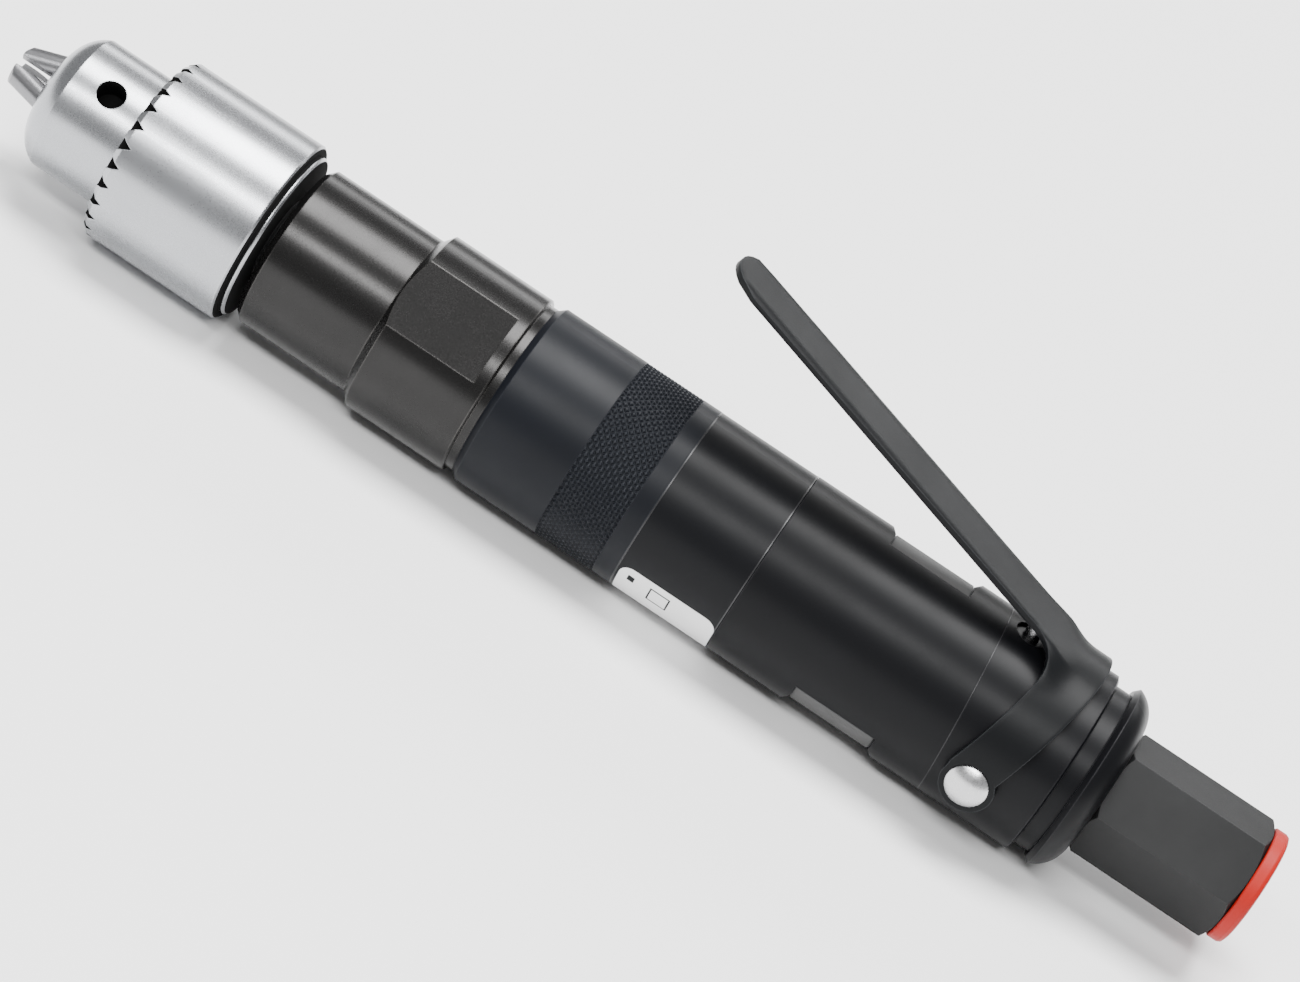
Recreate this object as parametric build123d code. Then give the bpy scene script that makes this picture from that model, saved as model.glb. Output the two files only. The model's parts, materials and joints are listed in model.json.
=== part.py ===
from build123d import *
from math import acos, asin, cos, degrees, pi, radians, sin, sqrt, tan
import os

# In-line air drill: a turned grip housing with a vane motor, one planetary reduction, a lever
# throttle and a keyed three-jaw chuck. Sizes are millimetres.
# X is the spindle axis: the chuck points to -X and the air inlet to +X. +Z is the lever's side.
# The origin is on the axis, in the middle of the smooth clamping land of the grip housing.
# Angles about the axis are degrees from +Y towards +Z.

# ---- clearances -------------------------------------------------------------------------------
running = 0.05          # between a turning part and its bore
slip = 0.04             # between a part and the bore it is slid into
face_gap = 0.1          # axial gap beside a turning part
past = 1.0              # how far a cutter runs past what it cuts

# ---- grip housing and its stations ------------------------------------------------------------
body_radius = 14.85
housing_wall = 2.15
land_length = 14.0
housing_chamfer = 1.0
housing_chamfer_height = 0.85
housing_end_inset = 1.5  # the housing ends this far inside the exhaust sleeve
front_groove = 1.3
front_groove_depth = 0.85
knurl_length = 9.9
knurl_relief = 0.2      # the knurled band is a plain cylinder at half the knurl's depth
knurl_to_label = 3.0
label_length = 16.9
label_recess = 0.13
film_recess = 0.05      # the film's face below the housing's
panel_front_margin = 0.6
panel_back_margin = 0.1
panel_start = 199.0     # the angle where the panel on the label begins
panel_span = 130.0
exhaust_sleeve_length = 35.3
exhaust_sleeve_wall = 0.9
window_offset = 13.0
window_length = 15.5
window_half_angle = 34.5
window_angles = (60.0, 240.0)
exhaust_slot_width = 3.0
exhaust_slot_spread = 17.0
window_floor_depth = 4.0  # of the flat under a window, at its middle
head_length = 16.7
seam_lean = 5.4         # the seam in front of the throttle head is not quite square to the axis
seam_lean_angle = 60.0  # the side where the seam leans forward
rear_groove = 3.0
rear_groove_depth = 1.35
head_edge_length = 0.35
head_edge_height = 0.6

# ---- gear case --------------------------------------------------------------------------------
neck_length = 19.4
neck_wall = 2.1
neck_chamfer = 1.0
collar_length = 18.3
collar_drop = 0.1       # of the collar below the housing
collar_bevel = 1.3
collar_step = 0.15      # a small fillet where the bevel meets the neck
collar_edge = 0.3
flat_depth = 1.2        # of a wrench flat below the collar, at its middle
flat_rim = 2.0
flat_angle = 133.0
spigot_wall = 1.05
bearing_shoulder = 0.8
case_step = 1.2         # the step that the second bearing stands against
case_room = 0.3         # round the carrier

# ---- keyed chuck ------------------------------------------------------------------------------
chuck_gap = 1.4
chuck_length = 39.65
nose_share = 0.72       # the nose's radius, as a share of the sleeve's
nose_face_radius = 4.7
nose_round = 3.7
nose_bulge = (0.27, 0.64)  # a point of the nose's curve, as shares of its length and height
chuck_angle = 128.2     # a key pilot hole; the jaws lie 60 degrees to each side
pilot_radius = 2.2
pilot_from_nose = 9.7
pilot_depth = 4.8
sleeve_setback = 1.03   # from the nose's front, as a share of the sleeve's radius
sleeve_length = 23.15
sleeve_radius = 15.0
sleeve_wall = 1.5
sleeve_lip = 0.5
sleeve_bevel_length = 0.9
sleeve_bevel_height = 0.8
sleeve_back_chamfer = 0.5
sleeve_back_gap = 0.5   # between the sleeve and the rim behind it
crown_teeth = 28
crown_depth = 2.0
crown_width = 2.0
rear_rim_drop = 1.4     # of the rim below the sleeve
rear_rim_chamfer = 0.4
nut_length = 2.6
nut_overlap = 0.12      # between the jaws' outer edge and the nut's cone
nut_groove_depth = 0.3
nut_groove_room = 0.2
nut_split = 0.04        # half the gap between the nut's halves
jaw_angle = 18.0
jaw_share = 0.12        # a jaw's radius, as a share of the sleeve's
jaw_axis_share = 7 / 30  # and its axis, where it crosses the nose's face
jaw_reach = 6.0
jaw_back = 20.1
grip_radius = 1.5
grip_half_angle = 26.8
jaw_closing = 0.9       # how far the jaws can still close, radially
jaw_opening_share = 0.11  # and open, as a share of the sleeve's radius
jaw_tip_bevel = 0.5
jaw_wall = 0.25         # of the chuck body outside a jaw that is drawn back
jaw_bore_room = 0.4
shank_bore = 3.4
chuck_thread_radius = 4.76
chuck_thread_depth = 14.0
chuck_thread_lead = 0.6
chuck_screw_radius = 2.5
chuck_screw_length = 2.5

# ---- spindle, its bearings and the planetary gears --------------------------------------------
bearing_bore = 5.0
bearing_outer = 11.0
bearing_width = 6.0
bearing_ball = 1.95
bearing_balls = 9
race_share = 0.55       # height of a race over the balls' centres, in ball radii
cage_share = 0.3        # and of the cage
cage_margin = 0.35
cap_length = 2.5
cap_recess = 0.3
seal_wall = 1.6
spindle_shoulder = 6.6
carrier_gap = 0.6
carrier_room = 0.35
carrier_disc = 3.0
carrier_plate_length = 2.0
sun_recess = 1.5
sun_room = 0.4
plate_room = 0.3        # round a shaft that passes through a plate
pin_inset = 0.5
planet_width = 8.0
planet_gap = 0.5
ring_rim = 1.6
ring_overhang = 0.5
sun_teeth = 12
planet_teeth = 18
planet_count = 3
ring_teeth = sun_teeth + 2 * planet_teeth
addendum = 0.8          # stub teeth, in modules
dedendum = 1.0
pressure_angle = radians(20)
backlash = 0.05
planet_pin_share = 0.34  # pin radius as a share of the planet's pitch radius

# ---- vane motor -------------------------------------------------------------------------------
liner_inset = 4.0       # from the land's front edge back to the liner
liner_length = 39.0
liner_min_wall = 2.2
eccentricity = 0.9
eccentric_angle = 150.0
rotor_seal_gap = 0.1
rotor_bearing_bore = 3.0
rotor_bearing_outer = 6.5
rotor_bearing_width = 5.0
rotor_bearing_ball = 1.05
rotor_bearing_balls = 8
end_plate_length = 9.5
bearing_web = 1.5       # of an end plate, beyond its bearing
shaft_step = 0.4
rotor_core = 3.4
vane_count = 5
vane_width = 1.5
vane_bottom = 4.2
dowel_radius = 0.9
dowel_length = 6.0
dowel_shift = 0.3
exhaust_ports = 5
exhaust_port_radius = 1.2
exhaust_port_spread = 20.0
exhaust_port_first = 0.3  # place of the first row, as a share of the liner's length
exhaust_port_step = 0.1
inlet_port_radius = 1.1
inlet_port_spread = 25.0
inlet_port_inset = 1.0
spring_washer_length = 1.2
spring_washer_thickness = 0.5
spring_washer_step = 0.5
spring_washer_room = 0.3
muffler_gap = 0.6
muffler_wall_gap = 0.5
air_tube_inner = 3.4
air_tube_wall = 1.1
air_tube_seat = 1.0

# ---- throttle head ----------------------------------------------------------------------------
head_spigot = 6.0
passage_radius = 4.0
valve_seat_length = 1.5
valve_seat_hole = 2.6
seat_from_back = 8.8    # back face of the groove to the seat's back face
valve_radius = 4.0
valve_thickness = 1.4
valve_face_thickness = 0.5
valve_edge = 0.3
valve_stem_radius = 1.0
valve_stem_length = 8.8
spring_radius = 2.6
spring_wire = 0.35
spring_turns = 6
plunger_radius = 1.25
plunger_from_pivot = 3.85
bushing_wall = 1.3
bushing_length = 6.0
bushing_recess = 0.6
plunger_seal_length = 1.6

# ---- lever ------------------------------------------------------------------------------------
pivot_from_seam = 6.55
pivot_height = -2.6
lever_clearance = 0.45
lever_sheet = 1.05
lever_slope = 17.75
lever_lean = 16.0
lever_width = 9.5
lever_reach = 67.6      # pivot to blade tip, along X
lever_bend_from_pivot = 4.15
heel_length = 1.0
blade_flare = ((13.0, 0.0), (5.2, 1.6), (3.2, 3.4))  # before the bend, and wider on each side
band_front = 4.45
band_back = 2.65
ear_radius = 4.2
lever_press = 14.0      # degrees
screw_shoulder = 2.4
screw_stem = 1.6
screw_head = 3.3
screw_head_height = 1.3
screw_stem_depth = 5.5
screw_shoulder_depth = 0.6
plunger_passage = 0.4   # wider than the plunger
notch_room = 0.35       # round the plunger, in the lever's saddle
contact_gap = 0.05      # plunger to valve stem
blade_gap_at_rest = 0.1  # plunger to blade
blade_gap_pressed = 0.26

# ---- inlet ------------------------------------------------------------------------------------
flange_length = 4.3
flange_rise = 0.15      # above the housing
flange_back_radius = 9.9
flange_rim = 0.8
flange_bulge = (0.62, 0.72)  # a point of the dome's curve, as shares of its length and height
hex_across_flats = 17.46
hex_length = 23.6
hex_angle = 112.5       # one corner
hex_chamfer = 0.8
hex_bevel_front = 0.96
hex_bevel_back = 1.44
corner_proud = 0.05     # a bevel starts just outside the hexagon's corners
inlet_spigot_radius = 8.0
inlet_bore = 5.2
inlet_thread_radius = 5.56
inlet_thread_length = 16.0
inlet_counterbore_radius = 6.6
inlet_counterbore_depth = 3.0
screen_thickness = 0.7
screen_from_seat = 12.0
screen_hole = 0.45
screen_circles = ((0, 1), (1.6, 6), (3.2, 12), (4.4, 18))  # radius and holes of each circle
plug_head_radius = 9.25
plug_head_length = 2.4
plug_round = 0.7
plug_round_waist = 0.3  # share of the rounding where its facet turns
plug_gap = 0.05
plug_edge = 0.2
plug_spigot_gap = 0.1
plug_spigot_room = 0.2
plug_spigot_lead = 0.4

# ---- sizes that follow the housing and the chuck sleeve ---------------------------------------
front_groove_radius = body_radius - front_groove_depth
rear_groove_radius = body_radius - rear_groove_depth
collar_radius = body_radius - collar_drop
flat_half_width = collar_radius - flat_depth
flange_radius = body_radius + flange_rise
nose_radius = nose_share * sleeve_radius
sleeve_from_nose = sleeve_setback * sleeve_radius
rear_rim_radius = sleeve_radius - rear_rim_drop
jaw_radius = jaw_share * sleeve_radius
jaw_axis_at_nose = jaw_axis_share * sleeve_radius
jaw_opening = jaw_opening_share * sleeve_radius

# ---- stations along X -------------------------------------------------------------------------
land_front = -land_length / 2
land_back = land_length / 2
housing_front = land_front - housing_chamfer
collar_back = housing_front - front_groove
collar_front = collar_back - collar_length
neck_front = collar_front - neck_length
chuck_back = neck_front - chuck_gap
nose_front = chuck_back - chuck_length
jaw_tip = nose_front - jaw_reach
chuck_sleeve_front = nose_front + sleeve_from_nose
chuck_sleeve_back = chuck_sleeve_front + sleeve_length
nut_front = chuck_sleeve_front + sleeve_lip + face_gap
nut_back = nut_front + nut_length
knurl_back = land_back + knurl_length
label_front = knurl_back + knurl_to_label
label_back = label_front + label_length
seam = label_back + exhaust_sleeve_length
window_front = label_back + window_offset
head_back = seam + head_length
flange_front = head_back + rear_groove
flange_back = flange_front + flange_length
hex_back = flange_back + hex_length
pivot_x = seam + pivot_from_seam
plunger_x = pivot_x - plunger_from_pivot
seat_back = flange_front - seat_from_back
head_front = seam - head_spigot
housing_back = seam - housing_end_inset

liner_front = land_front + liner_inset
liner_back = liner_front + liner_length
front_plate_front = liner_front - end_plate_length
rear_plate_back = liner_back + end_plate_length
carrier_back = front_plate_front - 2 * carrier_gap
planet_back = carrier_back - carrier_plate_length - planet_gap
planet_front = planet_back - planet_width
ring_gear_front = planet_front - ring_overhang
carrier_front = planet_front - planet_gap - carrier_disc
second_bearing_back = carrier_front - carrier_gap
second_bearing_front = second_bearing_back - bearing_width
first_bearing_front = neck_front + cap_length
first_bearing_back = first_bearing_front + bearing_width
washer_back = rear_plate_back + spring_washer_length
muffler_front = washer_back + muffler_gap

# ---- radii that follow ------------------------------------------------------------------------
housing_bore = body_radius - housing_wall
under_sleeve_radius = body_radius - exhaust_sleeve_wall - slip
neck_radius = bearing_outer + neck_wall
spigot_radius = housing_bore - slip
ring_outer = spigot_radius - spigot_wall
module = 2 * (ring_outer - ring_rim) / (ring_teeth + 2 * dedendum)
carrier_arm = module * (sun_teeth + planet_teeth) / 2
sun_tip = module * (sun_teeth / 2 + addendum)
carrier_radius = module * (ring_teeth / 2 - addendum) - carrier_room
planet_pin_radius = planet_pin_share * module * planet_teeth / 2
liner_outer = housing_bore - slip
liner_bore = liner_outer - liner_min_wall - eccentricity
rotor_radius = liner_bore - eccentricity - rotor_seal_gap
chuck_bore = sleeve_radius - sleeve_wall
chuck_body_radius = chuck_bore - running
inlet_hex_corner = hex_across_flats / 2 / cos(pi / 6)
plug_front = hex_back + plug_gap
bushing_top = body_radius - bushing_recess


# ---- helpers ----------------------------------------------------------------------------------
def turned(*corners):
    """A solid turned about X, from the corners (x, radius) of its half section."""
    return revolve(make_face(Plane.XZ * Polyline(*corners, close=True)), Axis.X)


def ring(front, back, inner, outer):
    """A plain ring, or a rod where the inner radius is nothing."""
    return turned((front, inner), (back, inner), (back, outer), (front, outer))


def at_angle(angle, shape):
    """Turns a shape that was drawn on the +Z side to an angle about X."""
    return Rot(angle - 90, 0, 0) * shape


def radial_hole(x, inner, outer, radius, angle):
    """A round cutter that points away from the axis."""
    rod = Cylinder(radius, outer - inner, align=(Align.CENTER, Align.CENTER, Align.MIN))
    return at_angle(angle, Pos(x, 0, inner) * rod)


def axial_pin(front, back, radius, distance, angle):
    """A rod parallel to X, at a distance from the axis."""
    return at_angle(angle, Pos(0, 0, distance) * ring(front, back, 0, radius))


def flat_pattern(front, back, points):
    """A prism along X with corners given as (y, z)."""
    face = make_face(Plane.YZ.offset(front) * Polyline(*points, close=True))
    return extrude(face, amount=back - front)


def save(node, *shapes):
    """Writes every solid of the shapes to one STEP file."""
    solids = [solid for shape in shapes for solid in shape.solids()]
    whole = solids[0] if len(solids) == 1 else Compound(solids)
    export_step(whole, f"parts/{node}.step")


# ---- gears ------------------------------------------------------------------------------------
def involute(angle):
    return tan(angle) - angle


def gear_points(teeth, low, high, thinning, phase):
    """Corners (y, z) of an involute gear with one tooth centred on the phase angle.

    low and high are the root and tip radii, and thinning is taken off each tooth at the pitch line.
    """
    pitch_radius = module * teeth / 2
    base_radius = pitch_radius * cos(pressure_angle)
    start = max(low, base_radius)
    radii = [start + (high - start) * step / 3 for step in range(4)]
    if low < start:
        radii = [low] + radii
    half_pitch = pi / (2 * teeth) - thinning / (2 * pitch_radius)
    half = []
    for radius in radii:
        slope = acos(min(1.0, base_radius / radius))
        half.append(half_pitch + involute(pressure_angle) - involute(slope))
    points = []
    for tooth in range(teeth):
        centre = radians(phase) + 2 * pi * tooth / teeth
        flank = [(radius, centre - offset) for radius, offset in zip(radii, half)]
        flank += [(radius, centre + offset) for radius, offset in zip(radii[::-1], half[::-1])]
        points += [(radius * cos(turn), radius * sin(turn)) for radius, turn in flank]
    return points


def external_gear(teeth, front, back, phase):
    pitch_radius = module * teeth / 2
    low = pitch_radius - dedendum * module
    high = pitch_radius + addendum * module
    return flat_pattern(front, back, gear_points(teeth, low, high, backlash / 2, phase))


def planet_phase(angle):
    """Where a planet at this angle has a tooth, when the sun has one at angle 0."""
    return angle + 180 + angle * sun_teeth / planet_teeth + 180 / planet_teeth


def build_ring_gear():
    pitch_radius = module * ring_teeth / 2
    low = pitch_radius - addendum * module
    high = pitch_radius + dedendum * module
    phase = planet_phase(0) * planet_teeth / ring_teeth
    spaces = gear_points(ring_teeth, low, high, -backlash / 2, phase)
    back = planet_back + ring_overhang
    blank = ring(ring_gear_front, back, 0, ring_outer)
    return blank - flat_pattern(ring_gear_front - past, back + past, spaces)


# ---- ball bearings ----------------------------------------------------------------------------
def ball_bearing(front, width, bore, outer, ball, count):
    """Inner race, outer race, and the cage with its balls."""
    middle = front + width / 2
    pitch = (bore + outer) / 2
    land = race_share * ball
    cage_half = ball + cage_margin
    cage_height = cage_share * ball
    track = Pos(middle, 0, 0) * Rot(0, 90, 0) * Torus(pitch, ball + running)
    inner_race = ring(front, front + width, bore, pitch - land) - track
    outer_race = ring(front, front + width, pitch + land, outer) - track
    cage = ring(middle - cage_half, middle + cage_half, pitch - cage_height, pitch + cage_height)
    balls = []
    for place in range(count):
        at = Rot(360 * place / count, 0, 0) * Pos(middle, 0, pitch)
        cage -= at * Sphere(ball + running)
        balls.append(at * Sphere(ball))
    return inner_race, outer_race, [cage, *balls]


# ---- chuck ------------------------------------------------------------------------------------
def jaw_line():
    """Plane on a jaw's own axis, for the jaw on the +Z side, where it crosses the nose's face."""
    lean = radians(jaw_angle)
    start = (nose_front, 0, jaw_axis_at_nose)
    return Plane(origin=start, x_dir=(0, 1, 0), z_dir=(cos(lean), 0, sin(lean)))


def jaw_rod(radius, ahead, behind):
    """A rod on a jaw's axis."""
    rod = Cylinder(radius, ahead + behind, align=(Align.CENTER, Align.CENTER, Align.MIN))
    return jaw_line() * Pos(0, 0, -ahead) * rod


def jaw_edge(x):
    """Distance from the spindle axis to a jaw's outer edge, at x."""
    lean = radians(jaw_angle)
    return jaw_axis_at_nose + (x - nose_front) * tan(lean) + jaw_radius / cos(lean)


jaw_travel_in = jaw_closing / sin(radians(jaw_angle))
jaw_travel_out = jaw_opening / sin(radians(jaw_angle))
jaw_limit_radius = chuck_body_radius - jaw_wall
jaw_angles = [chuck_angle + 60 + 120 * place for place in range(3)]
bore_back = jaw_back + jaw_travel_out * cos(radians(jaw_angle)) + jaw_bore_room


def build_jaw(angle):
    back = nose_front + jaw_back
    tip_edge = jaw_edge(jaw_tip)
    trim = jaw_limit_radius - jaw_opening - 2 * running
    half_angle = radians(grip_half_angle)
    apex = grip_radius * (cos(half_angle) - sin(half_angle) / tan(pi / 3))
    wide = trim * tan(pi / 3)
    wedge = flat_pattern(jaw_tip, back, [(0, apex), (wide, apex + trim), (-wide, apex + trim)])
    bevel_back = jaw_tip + jaw_tip_bevel
    envelope = turned(
        (jaw_tip, 0),
        (back, 0),
        (back, trim),
        (bevel_back, trim),
        (bevel_back, jaw_edge(bevel_back)),
        (jaw_tip, tip_edge - jaw_tip_bevel),
    )
    grip = ring(jaw_tip - past, back + past, 0, grip_radius)
    rod = jaw_rod(jaw_radius, 2 * jaw_reach, 2 * jaw_back)
    return at_angle(angle, (rod & envelope & wedge) - grip)


def build_chuck_body():
    neck = nut_back + face_gap
    groove = jaw_edge(nut_front) - nut_groove_depth
    groove_front = nut_front - nut_groove_room
    shoulder = chuck_sleeve_back + sleeve_back_gap
    round_back = nose_front + nose_round
    outline = Polyline(
        (round_back, nose_radius),
        (groove_front, nose_radius),
        (groove_front, groove),
        (neck, groove),
        (neck, chuck_body_radius),
        (shoulder, chuck_body_radius),
        (shoulder, rear_rim_radius),
        (chuck_back - rear_rim_chamfer, rear_rim_radius),
        (chuck_back, rear_rim_radius - rear_rim_chamfer),
        (chuck_back, 0),
        (nose_front, 0),
        (nose_front, nose_face_radius),
    )
    along, up = nose_bulge
    middle = (nose_front + along * nose_round, nose_face_radius + up * (nose_radius - nose_face_radius))
    nose = ThreePointArc((nose_front, nose_face_radius), middle, (round_back, nose_radius))
    body = revolve(make_face(Plane.XZ * (outline + nose)), Axis.X)
    thread_front = chuck_back - chuck_thread_depth
    screw_front = thread_front - chuck_screw_length
    body -= ring(nose_front - past, screw_front, 0, shank_bore)
    body -= ring(screw_front - past, thread_front, 0, chuck_screw_radius)
    body -= ring(thread_front, chuck_back + past, 0, chuck_thread_radius)
    room = ring(nose_front - past, nose_front + bore_back, 0, jaw_limit_radius)
    pilot_x = nose_front + pilot_from_nose
    pilot_floor = nose_radius - pilot_depth
    for angle in jaw_angles:
        bore = jaw_rod(jaw_radius + running, 2 * jaw_reach, 2 * jaw_back) & room
        body -= at_angle(angle, bore)
        body -= radial_hole(pilot_x, pilot_floor, nose_radius + past, pilot_radius, angle + 60)
    return body


def build_chuck_sleeve():
    front = chuck_sleeve_front
    back = chuck_sleeve_back
    lip_radius = nose_radius + 2 * running
    sleeve = turned(
        (front, lip_radius),
        (front + sleeve_lip, lip_radius),
        (front + sleeve_lip, chuck_bore),
        (back, chuck_bore),
        (back, sleeve_radius - sleeve_back_chamfer),
        (back - sleeve_back_chamfer, sleeve_radius),
        (front + sleeve_bevel_length, sleeve_radius),
        (front, sleeve_radius - sleeve_bevel_height),
    )
    notch = Plane.XY * Polyline(
        (front - past, -crown_width / 2),
        (front, -crown_width / 2),
        (front + crown_depth, 0),
        (front, crown_width / 2),
        (front - past, crown_width / 2),
        close=True,
    )
    cutter = Pos(0, 0, chuck_bore + face_gap) * extrude(make_face(notch), amount=sleeve_radius)
    for place in range(crown_teeth):
        sleeve -= at_angle(90 + 360 * place / crown_teeth, cutter)
    return sleeve


def build_chuck_nut():
    """Two half rings, which meet in the XZ plane."""
    whole = turned(
        (nut_front, jaw_edge(nut_front) + nut_overlap),
        (nut_back, jaw_edge(nut_back) + nut_overlap),
        (nut_back, chuck_bore),
        (nut_front, chuck_bore),
    )
    halves = []
    for side in (1, -1):
        block = Box(4 * nut_length, 2 * chuck_bore, 4 * chuck_bore)
        halves.append(whole & Pos(nut_front, side * (chuck_bore + nut_split), 0) * block)
    return halves


# ---- spindle and gears ------------------------------------------------------------------------
def planet_pin(back, place):
    """The pin of one planet gear, from the carrier's disc as far as the back station."""
    return axial_pin(
        carrier_front + pin_inset, back, planet_pin_radius, carrier_arm, 360 * place / planet_count
    )


def build_spindle():
    thread_front = chuck_back - chuck_thread_depth + face_gap
    disc_back = carrier_front + carrier_disc
    spindle = turned(
        (thread_front, 0),
        (disc_back, 0),
        (disc_back, carrier_radius),
        (carrier_front, carrier_radius),
        (carrier_front, spindle_shoulder),
        (second_bearing_back, spindle_shoulder),
        (second_bearing_back, bearing_bore),
        (chuck_back + face_gap, bearing_bore),
        (chuck_back + face_gap, spindle_shoulder),
        (chuck_back, spindle_shoulder),
        (chuck_back, chuck_thread_radius),
        (thread_front + chuck_thread_lead, chuck_thread_radius),
        (thread_front, chuck_thread_radius - chuck_thread_lead),
    )
    spindle -= ring(disc_back - sun_recess, disc_back + past, 0, sun_tip + sun_room)
    for place in range(planet_count):
        spindle -= planet_pin(planet_back, place)
    return spindle


def build_carrier_plate():
    front = carrier_back - carrier_plate_length
    plate = ring(front, carrier_back, sun_tip + carrier_gap, carrier_radius)
    for place in range(planet_count):
        plate -= planet_pin(carrier_back + past, place)
    return plate


def build_planet(place):
    """A planet gear. It is drawn on the axis and then set on its pin."""
    angle = 360 * place / planet_count
    gear = external_gear(planet_teeth, planet_front, planet_back, planet_phase(angle))
    gear -= ring(planet_front - past, planet_back + past, 0, planet_pin_radius + running)
    turn = radians(angle)
    return Pos(0, carrier_arm * cos(turn), carrier_arm * sin(turn)) * gear


def build_rotor_shaft():
    """The rotor's shaft, which ends in the sun pinion."""
    neck = min(sun_tip - (dedendum + addendum) * module, rotor_bearing_bore - shaft_step)
    front_seat = front_plate_front + bearing_web
    rear_seat = rear_plate_back - bearing_web
    shaft = turned(
        (planet_back, 0),
        (rear_seat, 0),
        (rear_seat, rotor_bearing_bore),
        (liner_back, rotor_bearing_bore),
        (liner_back, rotor_core),
        (liner_front, rotor_core),
        (liner_front, rotor_bearing_bore),
        (front_seat, rotor_bearing_bore),
        (front_seat, neck),
        (planet_back, neck),
    )
    return shaft + external_gear(sun_teeth, planet_front, planet_back, 0)


def vane_place(place, shape):
    return at_angle(90 + 360 * place / vane_count, shape)


def build_rotor():
    rotor = ring(liner_front + face_gap, liner_back - face_gap, rotor_core, rotor_radius)
    slot_width = vane_width + 2 * running
    slot = Box(2 * liner_length, slot_width, rotor_radius, align=(Align.CENTER, Align.CENTER, Align.MIN))
    for place in range(vane_count):
        rotor -= vane_place(place, Pos(liner_front, 0, vane_bottom - running) * slot)
    return rotor


def build_vanes():
    """The vanes, drawn home in their slots."""
    length = liner_length - 2 * face_gap
    height = rotor_radius - running - vane_bottom
    vane = Box(length, vane_width, height, align=(Align.MIN, Align.CENTER, Align.MIN))
    home = Pos(liner_front + face_gap, 0, vane_bottom) * vane
    return [vane_place(place, home) for place in range(vane_count)]


def dowel_place():
    """Distance of the dowel from the axis, in the liner's thick side."""
    thin_edge = liner_bore - eccentricity
    return (thin_edge + spigot_radius - spigot_wall) / 2 + dowel_shift


def dowel(front, back, radius):
    return axial_pin(front, back, radius, dowel_place(), eccentric_angle + 180)


def build_liner():
    liner = ring(liner_front, liner_back, 0, liner_outer)
    liner -= axial_pin(liner_front - past, liner_back + past, liner_bore, eccentricity, eccentric_angle)
    for place in range(exhaust_ports):
        x = liner_front + liner_length * (exhaust_port_first + exhaust_port_step * place)
        for side in (-1, 1):
            turn = eccentric_angle + side * exhaust_port_spread
            liner -= radial_hole(x, rotor_radius, liner_outer + past, exhaust_port_radius, turn)
    return liner - dowel(liner_front - past, liner_front + dowel_length / 2, dowel_radius)


def build_front_plate():
    pocket_back = front_plate_front + bearing_web + rotor_bearing_width
    plate = ring(front_plate_front, liner_front, rotor_bearing_bore + plate_room, ring_outer - slip)
    plate -= ring(front_plate_front - past, pocket_back, 0, rotor_bearing_outer)
    return plate - dowel(liner_front - dowel_length / 2, liner_front + past, dowel_radius)


def build_rear_plate():
    pocket_front = rear_plate_back - bearing_web - rotor_bearing_width
    plate = ring(liner_back, rear_plate_back, rotor_bearing_bore + plate_room, liner_outer)
    plate -= ring(pocket_front, rear_plate_back + past, 0, rotor_bearing_outer)
    port_circle = liner_bore - inlet_port_inset
    for side in (-1, 1):
        turn = eccentric_angle + side * inlet_port_spread
        plate -= axial_pin(liner_back - past, rear_plate_back + past, inlet_port_radius, port_circle, turn)
    return plate


# ---- housings ---------------------------------------------------------------------------------
def build_gear_case():
    step_radius = max(carrier_radius, bearing_outer - case_step) + case_room
    case = turned(
        (neck_front, neck_radius - neck_chamfer),
        (neck_front + neck_chamfer, neck_radius),
        (collar_front, neck_radius),
        (collar_front + collar_step, neck_radius + collar_step),
        (collar_front + collar_bevel, collar_radius),
        (collar_back - collar_edge, collar_radius),
        (collar_back, collar_radius - collar_edge),
        (collar_back, front_groove_radius),
        (housing_front, front_groove_radius),
        (housing_front, spigot_radius),
        (liner_front, spigot_radius),
        (liner_front, ring_outer),
        (ring_gear_front, ring_outer),
        (ring_gear_front, step_radius),
        (second_bearing_back, step_radius),
        (second_bearing_back, bearing_outer),
        (second_bearing_front, bearing_outer),
        (second_bearing_front, bearing_outer - bearing_shoulder),
        (first_bearing_back, bearing_outer - bearing_shoulder),
        (first_bearing_back, bearing_outer),
        (neck_front, bearing_outer),
    )
    flat_length = collar_length - flat_rim + past
    block = Box(flat_length, 2 * body_radius, body_radius, align=(Align.MIN, Align.CENTER, Align.MIN))
    for turn in (0, 180):
        case -= at_angle(flat_angle + turn, Pos(collar_front - past, 0, flat_half_width) * block)
    return case


def build_motor_housing():
    front = housing_front
    housing = turned(
        (front, housing_bore),
        (front, body_radius - housing_chamfer_height),
        (land_front, body_radius),
        (land_back, body_radius),
        (land_back, body_radius - knurl_relief),
        (knurl_back, body_radius - knurl_relief),
        (knurl_back, body_radius),
        (label_front, body_radius),
        (label_front, body_radius - label_recess),
        (label_back, body_radius - label_recess),
        (label_back, under_sleeve_radius),
        (housing_back, under_sleeve_radius),
        (housing_back, housing_bore),
    )
    slot_length = window_length - 2 * exhaust_slot_width
    slot_x = window_front + window_length / 2
    slot = Pos(slot_x, 0, housing_bore) * Box(slot_length, exhaust_slot_width, 2 * (housing_wall + past))
    for angle in window_angles:
        for side in (-1, 0, 1):
            housing -= at_angle(angle + side * exhaust_slot_spread, slot)
    return housing


def seam_cutter(offset):
    """Everything behind the leaning seam, moved back by the offset."""
    size = 3 * exhaust_sleeve_length
    block = Box(size, size, size, align=(Align.MIN, Align.CENTER, Align.CENTER))
    return at_angle(seam_lean_angle, Pos(seam + offset, 0, 0) * Rot(0, -seam_lean, 0) * block)


def seam_reach():
    """How far the leaning seam runs behind its middle."""
    return body_radius * tan(radians(seam_lean)) + past


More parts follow.
